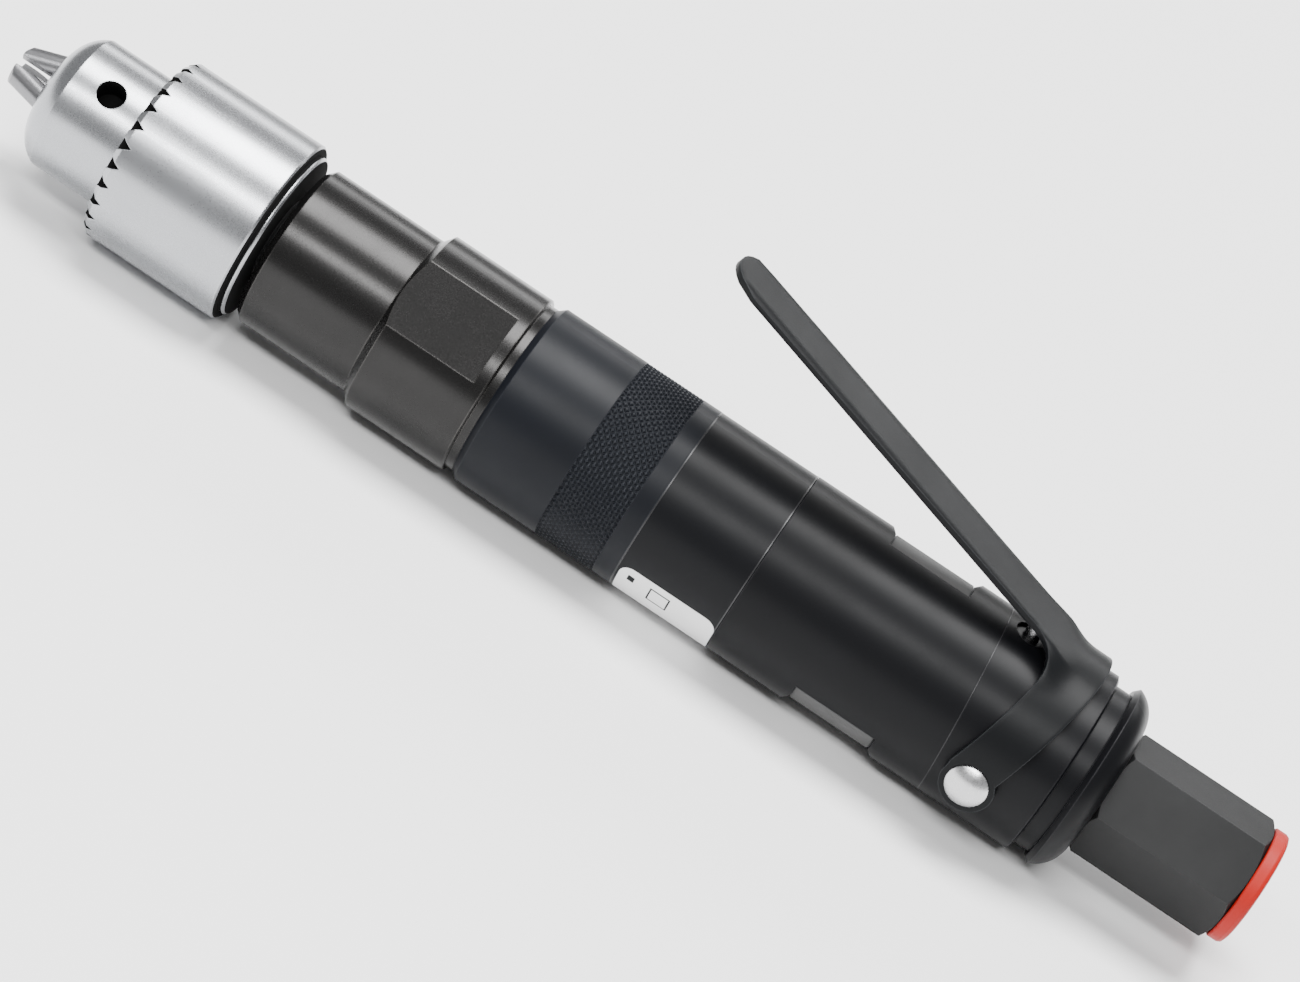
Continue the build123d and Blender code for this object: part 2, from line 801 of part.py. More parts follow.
def build_exhaust_sleeve():
    inner = body_radius - exhaust_sleeve_wall
    sleeve = ring(label_back + face_gap, seam + seam_reach(), inner, body_radius) - seam_cutter(0)
    half_width = body_radius * sin(radians(window_half_angle))
    low = (body_radius - window_floor_depth) * cos(radians(window_half_angle))
    front = window_front + exhaust_sleeve_wall
    back = window_front + window_length - exhaust_sleeve_wall
    # The window's two ends slope outwards at 45 degrees through the sleeve's wall.
    side_view = Polyline(
        (front, low),
        (front, inner),
        (front - exhaust_sleeve_wall - past, body_radius + past),
        (back + exhaust_sleeve_wall + past, body_radius + past),
        (back, inner),
        (back, low),
        close=True,
    )
    window = extrude(make_face(Plane.XZ * side_view), amount=half_width, both=True)
    for angle in window_angles:
        sleeve -= at_angle(angle, window)
    return sleeve


def build_label_film():
    return ring(label_front, label_back, body_radius - label_recess, body_radius - film_recess)


def build_label_panel():
    """A plain panel on the label, which follows the curve of the housing."""
    front = label_front + panel_front_margin
    back = label_back - panel_back_margin
    shell = ring(front, back, body_radius - film_recess, body_radius)
    reach = 2 * body_radius
    fan = [(0, 0)]
    for step in range(5):
        turn = radians(panel_start + panel_span * step / 4)
        fan.append((reach * cos(turn), reach * sin(turn)))
    return shell & flat_pattern(label_front, label_back, fan)


def plunger_hole(low, high, margin):
    """A round cutter over the plunger, wider than it by the margin."""
    return radial_hole(plunger_x, low, high, plunger_radius + margin, 90)


def build_throttle_body():
    tube_seat = head_front + air_tube_seat
    head = turned(
        (head_front, spigot_radius),
        (housing_back + face_gap, spigot_radius),
        (housing_back + face_gap, body_radius),
        (head_back, body_radius),
        (head_back + head_edge_length, body_radius - head_edge_height),
        (head_back + head_edge_length, rear_groove_radius),
        (flange_front, rear_groove_radius),
        (flange_front, inlet_spigot_radius),
        (seat_back - valve_seat_length, inlet_spigot_radius),
        (seat_back - valve_seat_length, passage_radius),
        (tube_seat, passage_radius),
        (tube_seat, air_tube_inner + air_tube_wall),
        (head_front, air_tube_inner + air_tube_wall),
    )
    front_shell = ring(head_front, seam + seam_reach(), spigot_radius, body_radius + past)
    head -= front_shell - seam_cutter(slip)
    bushing_low = bushing_top - bushing_length
    head -= plunger_hole(0, body_radius + past, plunger_passage)
    head -= plunger_hole(bushing_low, body_radius + past, bushing_wall)
    for side in (-1, 1):
        head -= screw_cutter(side)
    return head


def side_rod(radius, inner, outer, side):
    """A rod on the lever's pivot axis, on one side of the housing."""
    rod = Cylinder(radius, outer - inner, align=(Align.CENTER, Align.CENTER, Align.MIN))
    face = Plane(origin=(pivot_x, side * inner, pivot_height), x_dir=(1, 0, 0), z_dir=(0, side, 0))
    return face * rod


screw_seat = sqrt(body_radius ** 2 - pivot_height ** 2) - screw_shoulder_depth
ear_inner = body_radius + lever_clearance
ear_outer = ear_inner + lever_sheet


def screw_cutter(side):
    stem = side_rod(screw_stem, screw_seat - screw_stem_depth, screw_seat, side)
    return stem + side_rod(screw_shoulder, screw_seat, body_radius + past, side)


def build_lever_screw(side):
    under_head = ear_outer + face_gap
    stem = side_rod(screw_stem, screw_seat - screw_stem_depth, screw_seat, side)
    shoulder = side_rod(screw_shoulder, screw_seat, under_head, side)
    cap_radius = (screw_head ** 2 + screw_head_height ** 2) / (2 * screw_head_height)
    cap_centre = side * (under_head + screw_head_height - cap_radius)
    cap = Pos(pivot_x, cap_centre, pivot_height) * Sphere(cap_radius)
    dome = cap & side_rod(screw_head, under_head, under_head + screw_head_height, side)
    return stem + shoulder + dome


# ---- throttle ---------------------------------------------------------------------------------
lever_top = ear_outer
bend_x = pivot_x + lever_bend_from_pivot
blade_slope = radians(lever_slope)
blade_drop = lever_sheet / cos(blade_slope)


def blade_top(x):
    return lever_top + (bend_x - x) * tan(blade_slope)


def blade_gap(press, drop, centre):
    """Distance from the plunger's round top to the blade, at a press in degrees and a drop in mm."""
    turn = radians(press)
    ahead = plunger_x - pivot_x
    above = blade_top(plunger_x) - blade_drop - pivot_height
    x = pivot_x + ahead * cos(turn) - above * sin(turn)
    z = pivot_height + ahead * sin(turn) + above * cos(turn)
    slope = blade_slope - turn
    return -(plunger_x - x) * sin(slope) - (centre - drop - z) * cos(slope) - plunger_radius


plunger_room = (plunger_radius + blade_gap_at_rest) / cos(blade_slope)
plunger_centre = blade_top(plunger_x) - blade_drop - plunger_room
full_turn = blade_slope - radians(lever_press)
plunger_travel = (blade_gap_pressed - blade_gap(lever_press, 0, plunger_centre)) / cos(full_turn)
plunger_bottom = valve_stem_radius + contact_gap
stem_arm = seat_back - plunger_x
valve_tilt = degrees(asin((plunger_travel + contact_gap) / stem_arm))

# With the lever pressed, the plunger stands in a notch of the saddle, as far back as this.
pressed = radians(lever_press)
pressed_height = plunger_centre - plunger_travel - pivot_height
plunger_back = plunger_radius - plunger_from_pivot * cos(pressed) + pressed_height * sin(pressed)
notch_back = pivot_x + plunger_back + notch_room


def build_plunger():
    low = plunger_bottom + plunger_radius
    end = Sphere(plunger_radius)
    rod = plunger_hole(low, plunger_centre, 0)
    return rod + Pos(plunger_x, 0, low) * end + Pos(plunger_x, 0, plunger_centre) * end


def build_plunger_bushing():
    low = bushing_top - bushing_length + plunger_seal_length
    outer = plunger_hole(low, bushing_top, bushing_wall)
    return outer - plunger_hole(low - past, bushing_top + past, running)


def build_plunger_seal():
    low = bushing_top - bushing_length
    high = low + plunger_seal_length
    return plunger_hole(low, high, bushing_wall) - plunger_hole(low - past, high + past, running)


def build_tilt_valve():
    """Disc and stem. The disc's rubber face is a piece of its own."""
    front = seat_back + valve_face_thickness
    back = seat_back + valve_thickness
    stem_end = seat_back - valve_stem_length
    return turned(
        (stem_end, 0),
        (back, 0),
        (back, valve_radius - valve_edge),
        (back - valve_edge, valve_radius),
        (front, valve_radius),
        (front, valve_stem_radius),
        (stem_end + valve_edge, valve_stem_radius),
        (stem_end, valve_stem_radius - valve_edge),
    )


def build_valve_spring():
    screen_front = seat_back + screen_from_seat
    start = seat_back + valve_thickness + spring_wire
    height = screen_front - spring_wire - start
    path = Helix(pitch=height / spring_turns, height=height, radius=spring_radius)
    profile = Plane(origin=path @ 0, z_dir=path % 0) * Circle(spring_wire)
    return Pos(start, 0, 0) * Rot(0, 90, 0) * sweep(profile, path=path)


def build_lever():
    """A pressed sheet: an inclined blade, and a band over the housing with an ear on each side."""
    lean = radians(lever_lean)
    up = (sin(lean), cos(lean))
    across = (cos(lean), -sin(lean))

    def spot(sideways, height):
        x = pivot_x + sideways * across[0] + height * up[0]
        return (x, pivot_height + sideways * across[1] + height * up[1])

    tall = 2 * ear_outer
    band = make_face(Plane.XZ * Polyline(
        spot(-band_front, 0), spot(band_back, 0), spot(band_back, tall), spot(-band_front, tall), close=True
    ))
    ear = Plane.XZ * Pos(pivot_x, pivot_height) * Circle(ear_radius)
    side_view = extrude(band, amount=2 * ear_outer, both=True) + extrude(ear, amount=2 * ear_outer, both=True)
    far = 2 * tall
    arch = ring(pivot_x - far, pivot_x + far, ear_inner, ear_outer)
    arch &= Box(4 * pivot_x, far, 2 * far, align=(Align.CENTER, Align.CENTER, Align.MIN))
    plate = Box(2 * far, lever_sheet, ear_outer, align=(Align.CENTER, Align.CENTER, Align.MAX))
    shell = arch
    for side in (-1, 1):
        shell += Pos(pivot_x, side * (ear_inner + lever_sheet / 2), 0) * plate
    saddle = shell & side_view
    notch = Box(tall, 2 * (plunger_radius + notch_room), tall, align=(Align.MAX, Align.CENTER, Align.MIN))
    saddle -= Pos(notch_back, 0, 0) * notch

    tip = pivot_x - lever_reach
    heel = bend_x + heel_length
    slant = Plane.XZ * Polyline(
        (tip, blade_top(tip)),
        (bend_x, lever_top),
        (heel, lever_top),
        (heel, lever_top - lever_sheet),
        (bend_x, lever_top - lever_sheet),
        (tip, blade_top(tip) - blade_drop),
        close=True,
    )
    blade = extrude(make_face(slant), amount=lever_width, both=True)
    half = lever_width / 2
    strip = Rectangle(heel - tip - half, lever_width)
    edge = [(bend_x - ahead, half + wider) for ahead, wider in blade_flare]
    flare = make_face(Polyline(*edge, *[(x, -y) for x, y in edge[::-1]], close=True))
    plan = Pos(tip + half, 0) * Circle(half) + Pos((tip + half + heel) / 2, 0) * strip + flare
    blade &= extrude(plan, amount=far)
    blade -= ring(tip - past, heel + past, 0, ear_inner)
    lever = saddle + blade
    for side in (-1, 1):
        lever -= side_rod(screw_shoulder + running, ear_inner - past, ear_outer + past, side)
    return lever


# ---- inlet ------------------------------------------------------------------------------------
def build_rear_flange():
    rim = flange_front + flange_rim
    outline = Polyline(
        (flange_back, flange_back_radius),
        (flange_back, inlet_spigot_radius),
        (flange_front, inlet_spigot_radius),
        (flange_front, flange_radius - flange_rim),
        (rim, flange_radius),
    )
    along, up = flange_bulge
    height = flange_radius - flange_back_radius
    middle = (rim + along * (flange_back - rim), flange_back_radius + up * height)
    dome = ThreePointArc((rim, flange_radius), middle, (flange_back, flange_back_radius))
    return revolve(make_face(Plane.XZ * (outline + dome)), Axis.X)


def build_inlet_bushing():
    corners = []
    for place in range(6):
        turn = radians(hex_angle + 60 * place)
        corners.append((inlet_hex_corner * cos(turn), inlet_hex_corner * sin(turn)))
    bar = flat_pattern(flange_back, hex_back, corners)
    bevel = turned(
        (flange_back, 0),
        (hex_back, 0),
        (hex_back, inlet_hex_corner - hex_bevel_back),
        (hex_back - hex_chamfer, inlet_hex_corner + corner_proud),
        (flange_back + hex_chamfer, inlet_hex_corner + corner_proud),
        (flange_back, inlet_hex_corner - hex_bevel_front),
    )
    thread_back = hex_back - inlet_counterbore_depth
    thread_front = thread_back - inlet_thread_length
    bushing = (bar & bevel) + ring(seat_back, flange_back, 0, inlet_spigot_radius)
    bushing -= ring(seat_back - past, thread_front, 0, inlet_bore)
    bushing -= ring(thread_front, thread_back, 0, inlet_thread_radius)
    return bushing - ring(thread_back, hex_back + past, 0, inlet_counterbore_radius)


def build_inlet_screen():
    front = seat_back + screen_from_seat
    screen = ring(front, front + screen_thickness, 0, inlet_bore)
    back = front + screen_thickness
    for circle, count in screen_circles:
        for place in range(count):
            screen -= axial_pin(front - past, back + past, screen_hole, circle, 360 * place / count)
    return screen


def build_dust_plug():
    back = plug_front + plug_head_length
    waist = plug_round_waist * plug_round
    spigot_front = hex_back - inlet_counterbore_depth + plug_spigot_room
    spigot_radius = inlet_counterbore_radius - plug_spigot_gap
    return turned(
        (spigot_front, 0),
        (back, 0),
        (back, plug_head_radius - plug_round),
        (back - waist, plug_head_radius - waist),
        (back - plug_round, plug_head_radius),
        (plug_front + plug_edge, plug_head_radius),
        (plug_front, plug_head_radius - plug_edge),
        (plug_front, spigot_radius),
        (spigot_front + plug_spigot_lead, spigot_radius),
        (spigot_front, spigot_radius - plug_spigot_lead),
    )


# ---- write every piece ------------------------------------------------------------------------
os.makedirs("parts", exist_ok=True)

save("chuck_body", build_chuck_body())
save("chuck_sleeve", build_chuck_sleeve())
save("chuck_nut", *build_chuck_nut())
for number, angle in enumerate(jaw_angles, 1):
    save(f"jaw_{number}", build_jaw(angle))

save("spindle", build_spindle())
save("planet_pins", *[planet_pin(carrier_back, place) for place in range(planet_count)])
save("carrier_plate", build_carrier_plate())
for number in range(planet_count):
    save(f"planet_gear_{number + 1}", build_planet(number))
save("ring_gear", build_ring_gear())
save("bearing_spacer", ring(first_bearing_back, second_bearing_front, bearing_bore, spindle_shoulder))
seal_outer = bearing_bore + seal_wall
save("bearing_cap", ring(neck_front, first_bearing_front, seal_outer, bearing_outer))
save("shaft_seal", ring(neck_front + cap_recess, first_bearing_front, bearing_bore + running, seal_outer))

spindle_bearing = (bearing_width, bearing_bore, bearing_outer, bearing_ball, bearing_balls)
rotor_bearing = (
    rotor_bearing_width, rotor_bearing_bore, rotor_bearing_outer, rotor_bearing_ball, rotor_bearing_balls
)
rear_bearing_front = rear_plate_back - bearing_web - rotor_bearing_width
bearings = {
    "front_bearing": (first_bearing_front, *spindle_bearing),
    "second_bearing": (second_bearing_front, *spindle_bearing),
    "rotor_front_bearing": (front_plate_front + bearing_web, *rotor_bearing),
    "rotor_rear_bearing": (rear_bearing_front, *rotor_bearing),
}
for name, sizes in bearings.items():
    inner, outer, cage = ball_bearing(*sizes)
    save(f"{name}_inner", inner)
    save(f"{name}_outer", outer)
    save(f"{name}_cage", *cage)

save("rotor_shaft", build_rotor_shaft())
save("rotor", build_rotor())
save("vanes", *build_vanes())
save("cylinder_liner", build_liner())
save("front_end_plate", build_front_plate())
save("rear_end_plate", build_rear_plate())
save("liner_dowel", dowel(liner_front - dowel_length / 2, liner_front + dowel_length / 2, dowel_radius))
save("spring_washer", turned(
    (rear_plate_back, rotor_bearing_outer + spring_washer_step),
    (rear_plate_back + spring_washer_thickness, rotor_bearing_outer + spring_washer_step),
    (washer_back, liner_outer - spring_washer_room),
    (washer_back - spring_washer_thickness, liner_outer - spring_washer_room),
))

save("gear_case", build_gear_case())
save("motor_housing", build_motor_housing())
save("exhaust_sleeve", build_exhaust_sleeve())
save("label_film", build_label_film())
save("label_panel", build_label_panel())
tube_outer = air_tube_inner + air_tube_wall
save("air_tube", ring(rear_plate_back, head_front + air_tube_seat, air_tube_inner, tube_outer))
muffler_inner = tube_outer + muffler_wall_gap
save("muffler", ring(muffler_front, head_front - muffler_gap, muffler_inner, housing_bore - face_gap))

save("throttle_body", build_throttle_body())
save("lever", build_lever())
save("lever_screws", *[build_lever_screw(side) for side in (-1, 1)])
save("throttle_plunger", build_plunger())
save("plunger_bushing", build_plunger_bushing())
save("plunger_seal", build_plunger_seal())
save("tilt_valve", build_tilt_valve())
save("valve_face", ring(seat_back, seat_back + valve_face_thickness, valve_stem_radius, valve_radius))
save("valve_seat", ring(seat_back - valve_seat_length, seat_back, valve_seat_hole, inlet_spigot_radius))
save("valve_spring", build_valve_spring())

save("rear_flange", build_rear_flange())
save("inlet_bushing", build_inlet_bushing())
save("inlet_screen", build_inlet_screen())
save("dust_plug", build_dust_plug())

print("module", round(module, 4), "carrier arm", round(carrier_arm, 3))
print("jaw travel in, out", round(jaw_travel_in, 3), round(jaw_travel_out, 3))
print("plunger travel", round(plunger_travel, 4), "valve tilt", round(valve_tilt, 3))
gaps = [blade_gap(lever_press * step / 8, plunger_travel * step / 8, plunger_centre) for step in range(9)]
print("plunger to blade gaps", [round(gap, 3) for gap in gaps])
print("pivot", round(pivot_x, 3), pivot_height, "seat back", round(seat_back, 3), "valve edge", valve_radius)
tip_height = blade_top(pivot_x - lever_reach)
print("ends", round(jaw_tip, 3), round(plug_front + plug_head_length, 3), "blade tip", round(tip_height, 3))
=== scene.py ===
# %% [markdown]
# # An in-line air drill, dressed in Blender
# The CAD model gives every part its true size and place. This script loads it as a fixed frame, gives
# each part a finish, and builds the few pieces whose looks need more than a machined solid:
# the valve's spring, the knurled grip, the pressed lever and the printed panel. All lengths are metres, and
# `mm` turns a drawing size into metres. +X runs along the spindle towards the air inlet, and +Z is the
# lever's side.

# %% Load the frame
import json
import math
import bpy
import bmesh
from mathutils import Vector, Matrix


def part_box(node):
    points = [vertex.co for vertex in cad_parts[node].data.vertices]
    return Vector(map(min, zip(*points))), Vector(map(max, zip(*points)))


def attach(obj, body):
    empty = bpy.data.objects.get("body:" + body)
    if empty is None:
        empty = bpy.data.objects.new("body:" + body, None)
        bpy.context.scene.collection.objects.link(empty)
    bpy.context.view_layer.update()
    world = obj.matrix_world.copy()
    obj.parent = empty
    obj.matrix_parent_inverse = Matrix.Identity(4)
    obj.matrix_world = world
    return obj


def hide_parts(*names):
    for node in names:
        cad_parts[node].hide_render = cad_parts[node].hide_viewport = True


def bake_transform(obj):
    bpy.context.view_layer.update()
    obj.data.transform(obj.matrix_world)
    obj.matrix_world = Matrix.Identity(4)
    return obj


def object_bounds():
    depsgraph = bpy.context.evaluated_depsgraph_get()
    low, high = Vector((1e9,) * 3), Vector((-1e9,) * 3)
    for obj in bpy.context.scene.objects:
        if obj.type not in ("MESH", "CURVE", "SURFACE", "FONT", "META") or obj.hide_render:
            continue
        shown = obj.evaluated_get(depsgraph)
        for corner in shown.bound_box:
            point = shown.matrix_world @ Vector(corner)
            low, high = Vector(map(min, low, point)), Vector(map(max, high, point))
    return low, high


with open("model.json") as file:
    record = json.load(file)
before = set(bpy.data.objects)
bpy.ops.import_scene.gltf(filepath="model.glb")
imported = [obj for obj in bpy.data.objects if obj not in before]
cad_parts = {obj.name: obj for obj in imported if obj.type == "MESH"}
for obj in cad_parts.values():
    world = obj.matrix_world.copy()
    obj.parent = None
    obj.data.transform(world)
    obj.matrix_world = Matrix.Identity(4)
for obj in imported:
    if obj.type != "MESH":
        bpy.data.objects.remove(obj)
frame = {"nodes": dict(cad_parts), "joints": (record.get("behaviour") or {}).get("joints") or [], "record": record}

mm = 0.001
nodes = frame["nodes"]
joints = {joint["name"]: joint for joint in frame["joints"]}
mounts = {mount["name"]: mount for mount in frame["record"]["mounts"]}
cad_low, cad_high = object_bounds()
print("nodes", len(nodes), "CAD box in mm", [round(v / mm, 1) for v in (*cad_low, *cad_high)])

# %% [markdown]
# ## Camera
# A long slim tool is best seen through a long lens from a little way off, so that its two ends keep
# nearly the same scale. The camera stands 30 degrees above the tool's side and is rolled about its own
# axis, so that the tool runs slantwise down the frame from the chuck to the inlet.
# Building the rotation from three unit vectors (right, up, back) is simpler here than Euler angles.

# %% Camera
camera_distance = 627 * mm
camera_elevation = math.radians(30)
camera_station = 46.05 * mm
aim_station = 17.5 * mm
aim_below_axis = 0.5 * mm
axis_slope = math.radians(33.7)
lens_mm = 119.58

camera_data = bpy.data.cameras.new("camera")
camera_data.lens = lens_mm
camera_data.sensor_width = 36
camera = bpy.data.objects.new("camera", camera_data)
bpy.context.scene.collection.objects.link(camera)
bpy.context.scene.camera = camera

eye = Vector((
    camera_station,
    -camera_distance * math.cos(camera_elevation),
    camera_distance * math.sin(camera_elevation),
))
raised = Vector((0, math.sin(camera_elevation), math.cos(camera_elevation)))
aim = Vector((aim_station, 0, 0)) - raised * aim_below_axis
back = (eye - aim).normalized()
along = (Vector((1, 0, 0)) - back * back.x).normalized()
above = back.cross(along)
right = along * math.cos(axis_slope) + above * math.sin(axis_slope)
up = above * math.cos(axis_slope) - along * math.sin(axis_slope)
turn = Matrix((right, up, back)).transposed().to_4x4()
camera.matrix_world = Matrix.Translation(eye) @ turn
print("camera at", [round(v, 4) for v in eye])

# %% [markdown]
# ## Floor and studio light
# The tool lies on a pale sweep of paper. A long narrow soft box just above the camera draws one bright
# line along the round bodies. A wide one overhead whitens the paper, and a strip behind the tool
# picks out its upper edge. The world is a dim white, so that dark satin parts stay dark.

# %% Floor and lights
floor_size = 8.0
floor_gap = 0.05 * mm
world_strength = 0.42

floor_mesh = bpy.data.meshes.new("floor")
floor_z = cad_low.z - floor_gap
half_floor = floor_size / 2
floor_mesh.from_pydata(
    [(x, y, floor_z) for x, y in ((-half_floor, -half_floor), (half_floor, -half_floor),
                                  (half_floor, half_floor), (-half_floor, half_floor))],
    [], [(0, 1, 2, 3)],
)
floor = bpy.data.objects.new("floor", floor_mesh)
bpy.context.scene.collection.objects.link(floor)
paper = bpy.data.materials.new("paper")
paper.use_nodes = True
paper_shader = paper.node_tree.nodes["Principled BSDF"]
paper_shader.inputs["Base Color"].default_value = (0.93, 0.93, 0.93, 1)
paper_shader.inputs["Roughness"].default_value = 0.9
floor.data.materials.append(paper)

world = bpy.data.worlds.new("studio")
bpy.context.scene.world = world
world.use_nodes = True
world.node_tree.nodes["Background"].inputs["Color"].default_value = (1, 1, 1, 1)
world.node_tree.nodes["Background"].inputs["Strength"].default_value = world_strength


def soft_box(name, place, target, width, height, power):
    """A rectangular area light at a place, turned to face a target."""
    light = bpy.data.lights.new(name, "AREA")
    light.shape = "RECTANGLE"
    light.size = width
    light.size_y = height
    light.energy = power
    lamp = bpy.data.objects.new(name, light)
    bpy.context.scene.collection.objects.link(lamp)
    lamp.location = place
    lamp.rotation_mode = "QUATERNION"
    lamp.rotation_quaternion = (Vector(target) - Vector(place)).to_track_quat("-Z", "Y")
    return lamp


soft_box("key_light", (-0.05, -0.57, 0.60), (0.01, 0, 0), width=0.7, height=0.14, power=7.0)
soft_box("top_light", (0.0, 0.1, 1.2), (0.01, 0, 0), width=1.0, height=0.6, power=38.0)
soft_box("edge_light", (0.05, 0.6, 0.35), (0.02, 0, 0), width=0.9, height=0.15, power=3.0)

# %% [markdown]
# ## One recipe for machined finishes
# Turned, ground and blackened metal differ in few things: colour, gloss, how strong the fine rings of
# the lathe are, how grainy the surface is, and how far its edges are rubbed bright. So one function
# builds the node tree, and each finish is a call with its own numbers. The rings come from noise that
# varies along X only, because these parts were turned about X. The rubbed edges come from the Bevel
# node: where it bends the normal, there is an edge.

# %% Finish sizes
cloud_scale = 70.0
ring_height = 0.01 * mm
grain_height = 0.02 * mm
cut_wall_share = 0.25
# Near-black colour of painted shade, laid where shade falls in holes, gaps and notches.
painted_shade = (0.006, 0.006, 0.006)
print("ring and grain heights in mm", ring_height / mm, grain_height / mm)


# %% Finish helper
def node(tree, kind, settings=None, **inputs):
    """Adds a node, sets its properties, and fills or links its inputs by name."""
    made = tree.nodes.new(kind)
    for name, value in (settings or {}).items():
        setattr(made, name, value)
    for name, value in inputs.items():
        socket = made.inputs[name.replace("_", " ")] if not name.startswith("in") else made.inputs[int(name[2:])]
        if isinstance(value, bpy.types.NodeSocket):
            tree.links.new(value, socket)
        else:
            socket.default_value = value
    return made


def spread(tree, value, low, high):
    """Maps a 0 to 1 value onto low to high."""
    return node(tree, "ShaderNodeMapRange", None, Value=value, To_Min=low, To_Max=high).outputs[0]


def masked(tree, base, mask, colour):
    """Lays a colour over a base where the mask is 1."""
    return node(tree, "ShaderNodeMix", {"data_type": "RGBA"}, Factor=mask, in6=base, in7=(*colour, 1)).outputs[2]


def within(tree, value, low, high):
    """1 where a value lies between low and high, otherwise 0."""
    above_low = node(tree, "ShaderNodeMath", {"operation": "GREATER_THAN"}, in0=value, in1=low).outputs[0]
    below_high = node(tree, "ShaderNodeMath", {"operation": "LESS_THAN"}, in0=value, in1=high).outputs[0]
    return node(tree, "ShaderNodeMath", {"operation": "MULTIPLY"}, in0=above_low, in1=below_high).outputs[0]


def axis_distance(tree, place):
    """Distance of a point from the spindle axis."""
    flat = node(tree, "ShaderNodeVectorMath", {"operation": "MULTIPLY"}, in0=place, in1=(0, 1, 1)).outputs[0]
    return node(tree, "ShaderNodeVectorMath", {"operation": "LENGTH"}, in0=flat).outputs["Value"]


def sideways(tree, place):
    """1 on walls that face round the axis: they were cut or drilled, not turned. These walls get painted shade."""
    real = node(tree, "ShaderNodeNewGeometry").outputs["True Normal"]
    across = node(tree, "ShaderNodeVectorMath", {"operation": "CROSS_PRODUCT"}, in0=real, in1=place).outputs[0]
    spin = node(tree, "ShaderNodeSeparateXYZ", None, Vector=across).outputs["X"]
    size = node(tree, "ShaderNodeMath", {"operation": "ABSOLUTE"}, in0=spin).outputs[0]
    radius = axis_distance(tree, place)
    share = node(tree, "ShaderNodeMath", {"operation": "DIVIDE"}, in0=size, in1=radius).outputs[0]
    return node(tree, "ShaderNodeMath", {"operation": "GREATER_THAN"}, in0=share, in1=cut_wall_share).outputs[0]


def machined(
    name, colour, metallic=0.0, rough=(0.3, 0.4), rings=0.0, ring_pitch=0.25, grain=0.0, grain_size=0.25,
    mottle=0.12, edge=0.0, edge_colour=(0.6, 0.6, 0.6), edge_radius=0.25, dark=0.6, specular=0.5, shade_zones=(),
):
    """A procedural finish. Sizes are millimetres; rings, grain and edge are strengths from 0 to 1."""
    material = bpy.data.materials.new(name)
    material.use_nodes = True
    tree = material.node_tree
    shader = tree.nodes["Principled BSDF"]
    place = node(tree, "ShaderNodeTexCoord").outputs["Object"]
    clouds = node(tree, "ShaderNodeTexNoise", None, Vector=place, Scale=cloud_scale, Detail=4.0, Roughness=0.6)
    fine = node(tree, "ShaderNodeTexNoise", None, Vector=place, Scale=1 / (grain_size * mm), Detail=3.0)
    axial = node(tree, "ShaderNodeSeparateXYZ", None, Vector=place).outputs["X"]
    lathe = node(tree, "ShaderNodeTexNoise", {"noise_dimensions": "1D"}, W=axial, Scale=1 / (ring_pitch * mm),
                 Detail=2.0)

    deep = [channel * dark for channel in colour]
    cloudy = spread(tree, clouds.outputs[0], 0.5 - 4 * mottle, 0.5 + 4 * mottle)
    base = masked(tree, (*colour, 1), cloudy, deep)
    uneven = node(tree, "ShaderNodeMath", {"operation": "ADD"}, in0=clouds.outputs[0], in1=fine.outputs[0])
    gloss = node(tree, "ShaderNodeMapRange", None, Value=uneven.outputs[0], From_Min=0.6, From_Max=1.4,
                 To_Min=rough[0], To_Max=rough[1]).outputs[0]

    normal = node(tree, "ShaderNodeBevel", {"samples": 4}, Radius=edge_radius * mm).outputs[0]
    if edge:
        true_normal = node(tree, "ShaderNodeNewGeometry").outputs["Normal"]
        agree = node(tree, "ShaderNodeVectorMath", {"operation": "DOT_PRODUCT"}, in0=normal, in1=true_normal)
        bend = node(tree, "ShaderNodeMapRange", None, Value=agree.outputs["Value"], From_Min=0.995, From_Max=0.9,
                    To_Min=0.0, To_Max=edge)
        rubbed = node(tree, "ShaderNodeMath", {"operation": "MULTIPLY"}, in0=bend.outputs[0],
                      in1=spread(tree, clouds.outputs[0], 0.2, 1.5))
        base = masked(tree, base, rubbed.outputs[0], edge_colour)
    # Painted shade: walls facing round the axis and the given zones become near black, non-metallic and rough, for
    # the shade that falls in them.
    if shade_zones:
        shade_mask = sideways(tree, place)
        for front, rear, inner, outer in shade_zones:
            spot = node(tree, "ShaderNodeMath", {"operation": "MULTIPLY"}, in0=within(tree, axial, front, rear),
                        in1=within(tree, axis_distance(tree, place), inner, outer)).outputs[0]
            shade_mask = node(tree, "ShaderNodeMath", {"operation": "MAXIMUM"}, in0=shade_mask, in1=spot).outputs[0]
        base = masked(tree, base, shade_mask, painted_shade)
        tree.links.new(spread(tree, shade_mask, metallic, 0.0), shader.inputs["Metallic"])
        gloss = node(tree, "ShaderNodeMath", {"operation": "MAXIMUM"}, in0=gloss, in1=shade_mask).outputs[0]
    if rings:
        normal = node(tree, "ShaderNodeBump", None, Strength=rings, Distance=ring_height, Height=lathe.outputs[0],
                      Normal=normal).outputs[0]
    if grain:
        normal = node(tree, "ShaderNodeBump", None, Strength=grain, Distance=grain_height, Height=fine.outputs[0],
                      Normal=normal).outputs[0]
    tree.links.new(base, shader.inputs["Base Color"])
    tree.links.new(gloss, shader.inputs["Roughness"])
    tree.links.new(normal, shader.inputs["Normal"])
    shader.inputs["Metallic"].default_value = metallic
    shader.inputs["Specular IOR Level"].default_value = specular
    return material


def dress(material, *names):
    """Gives CAD parts a finish."""
    for name in names:
        part = nodes[name]
        part.data.materials.clear()
        part.data.materials.append(material)


# %% [markdown]
# ## Bright parts
# The chuck is ground steel with a satin skin: metallic, fairly rough, with faint rings. Its jaws are
# hardened and oiled, so they are darker. The two pivot screws are polished. Each differs only in the
# recipe's numbers, which is why one function is enough.

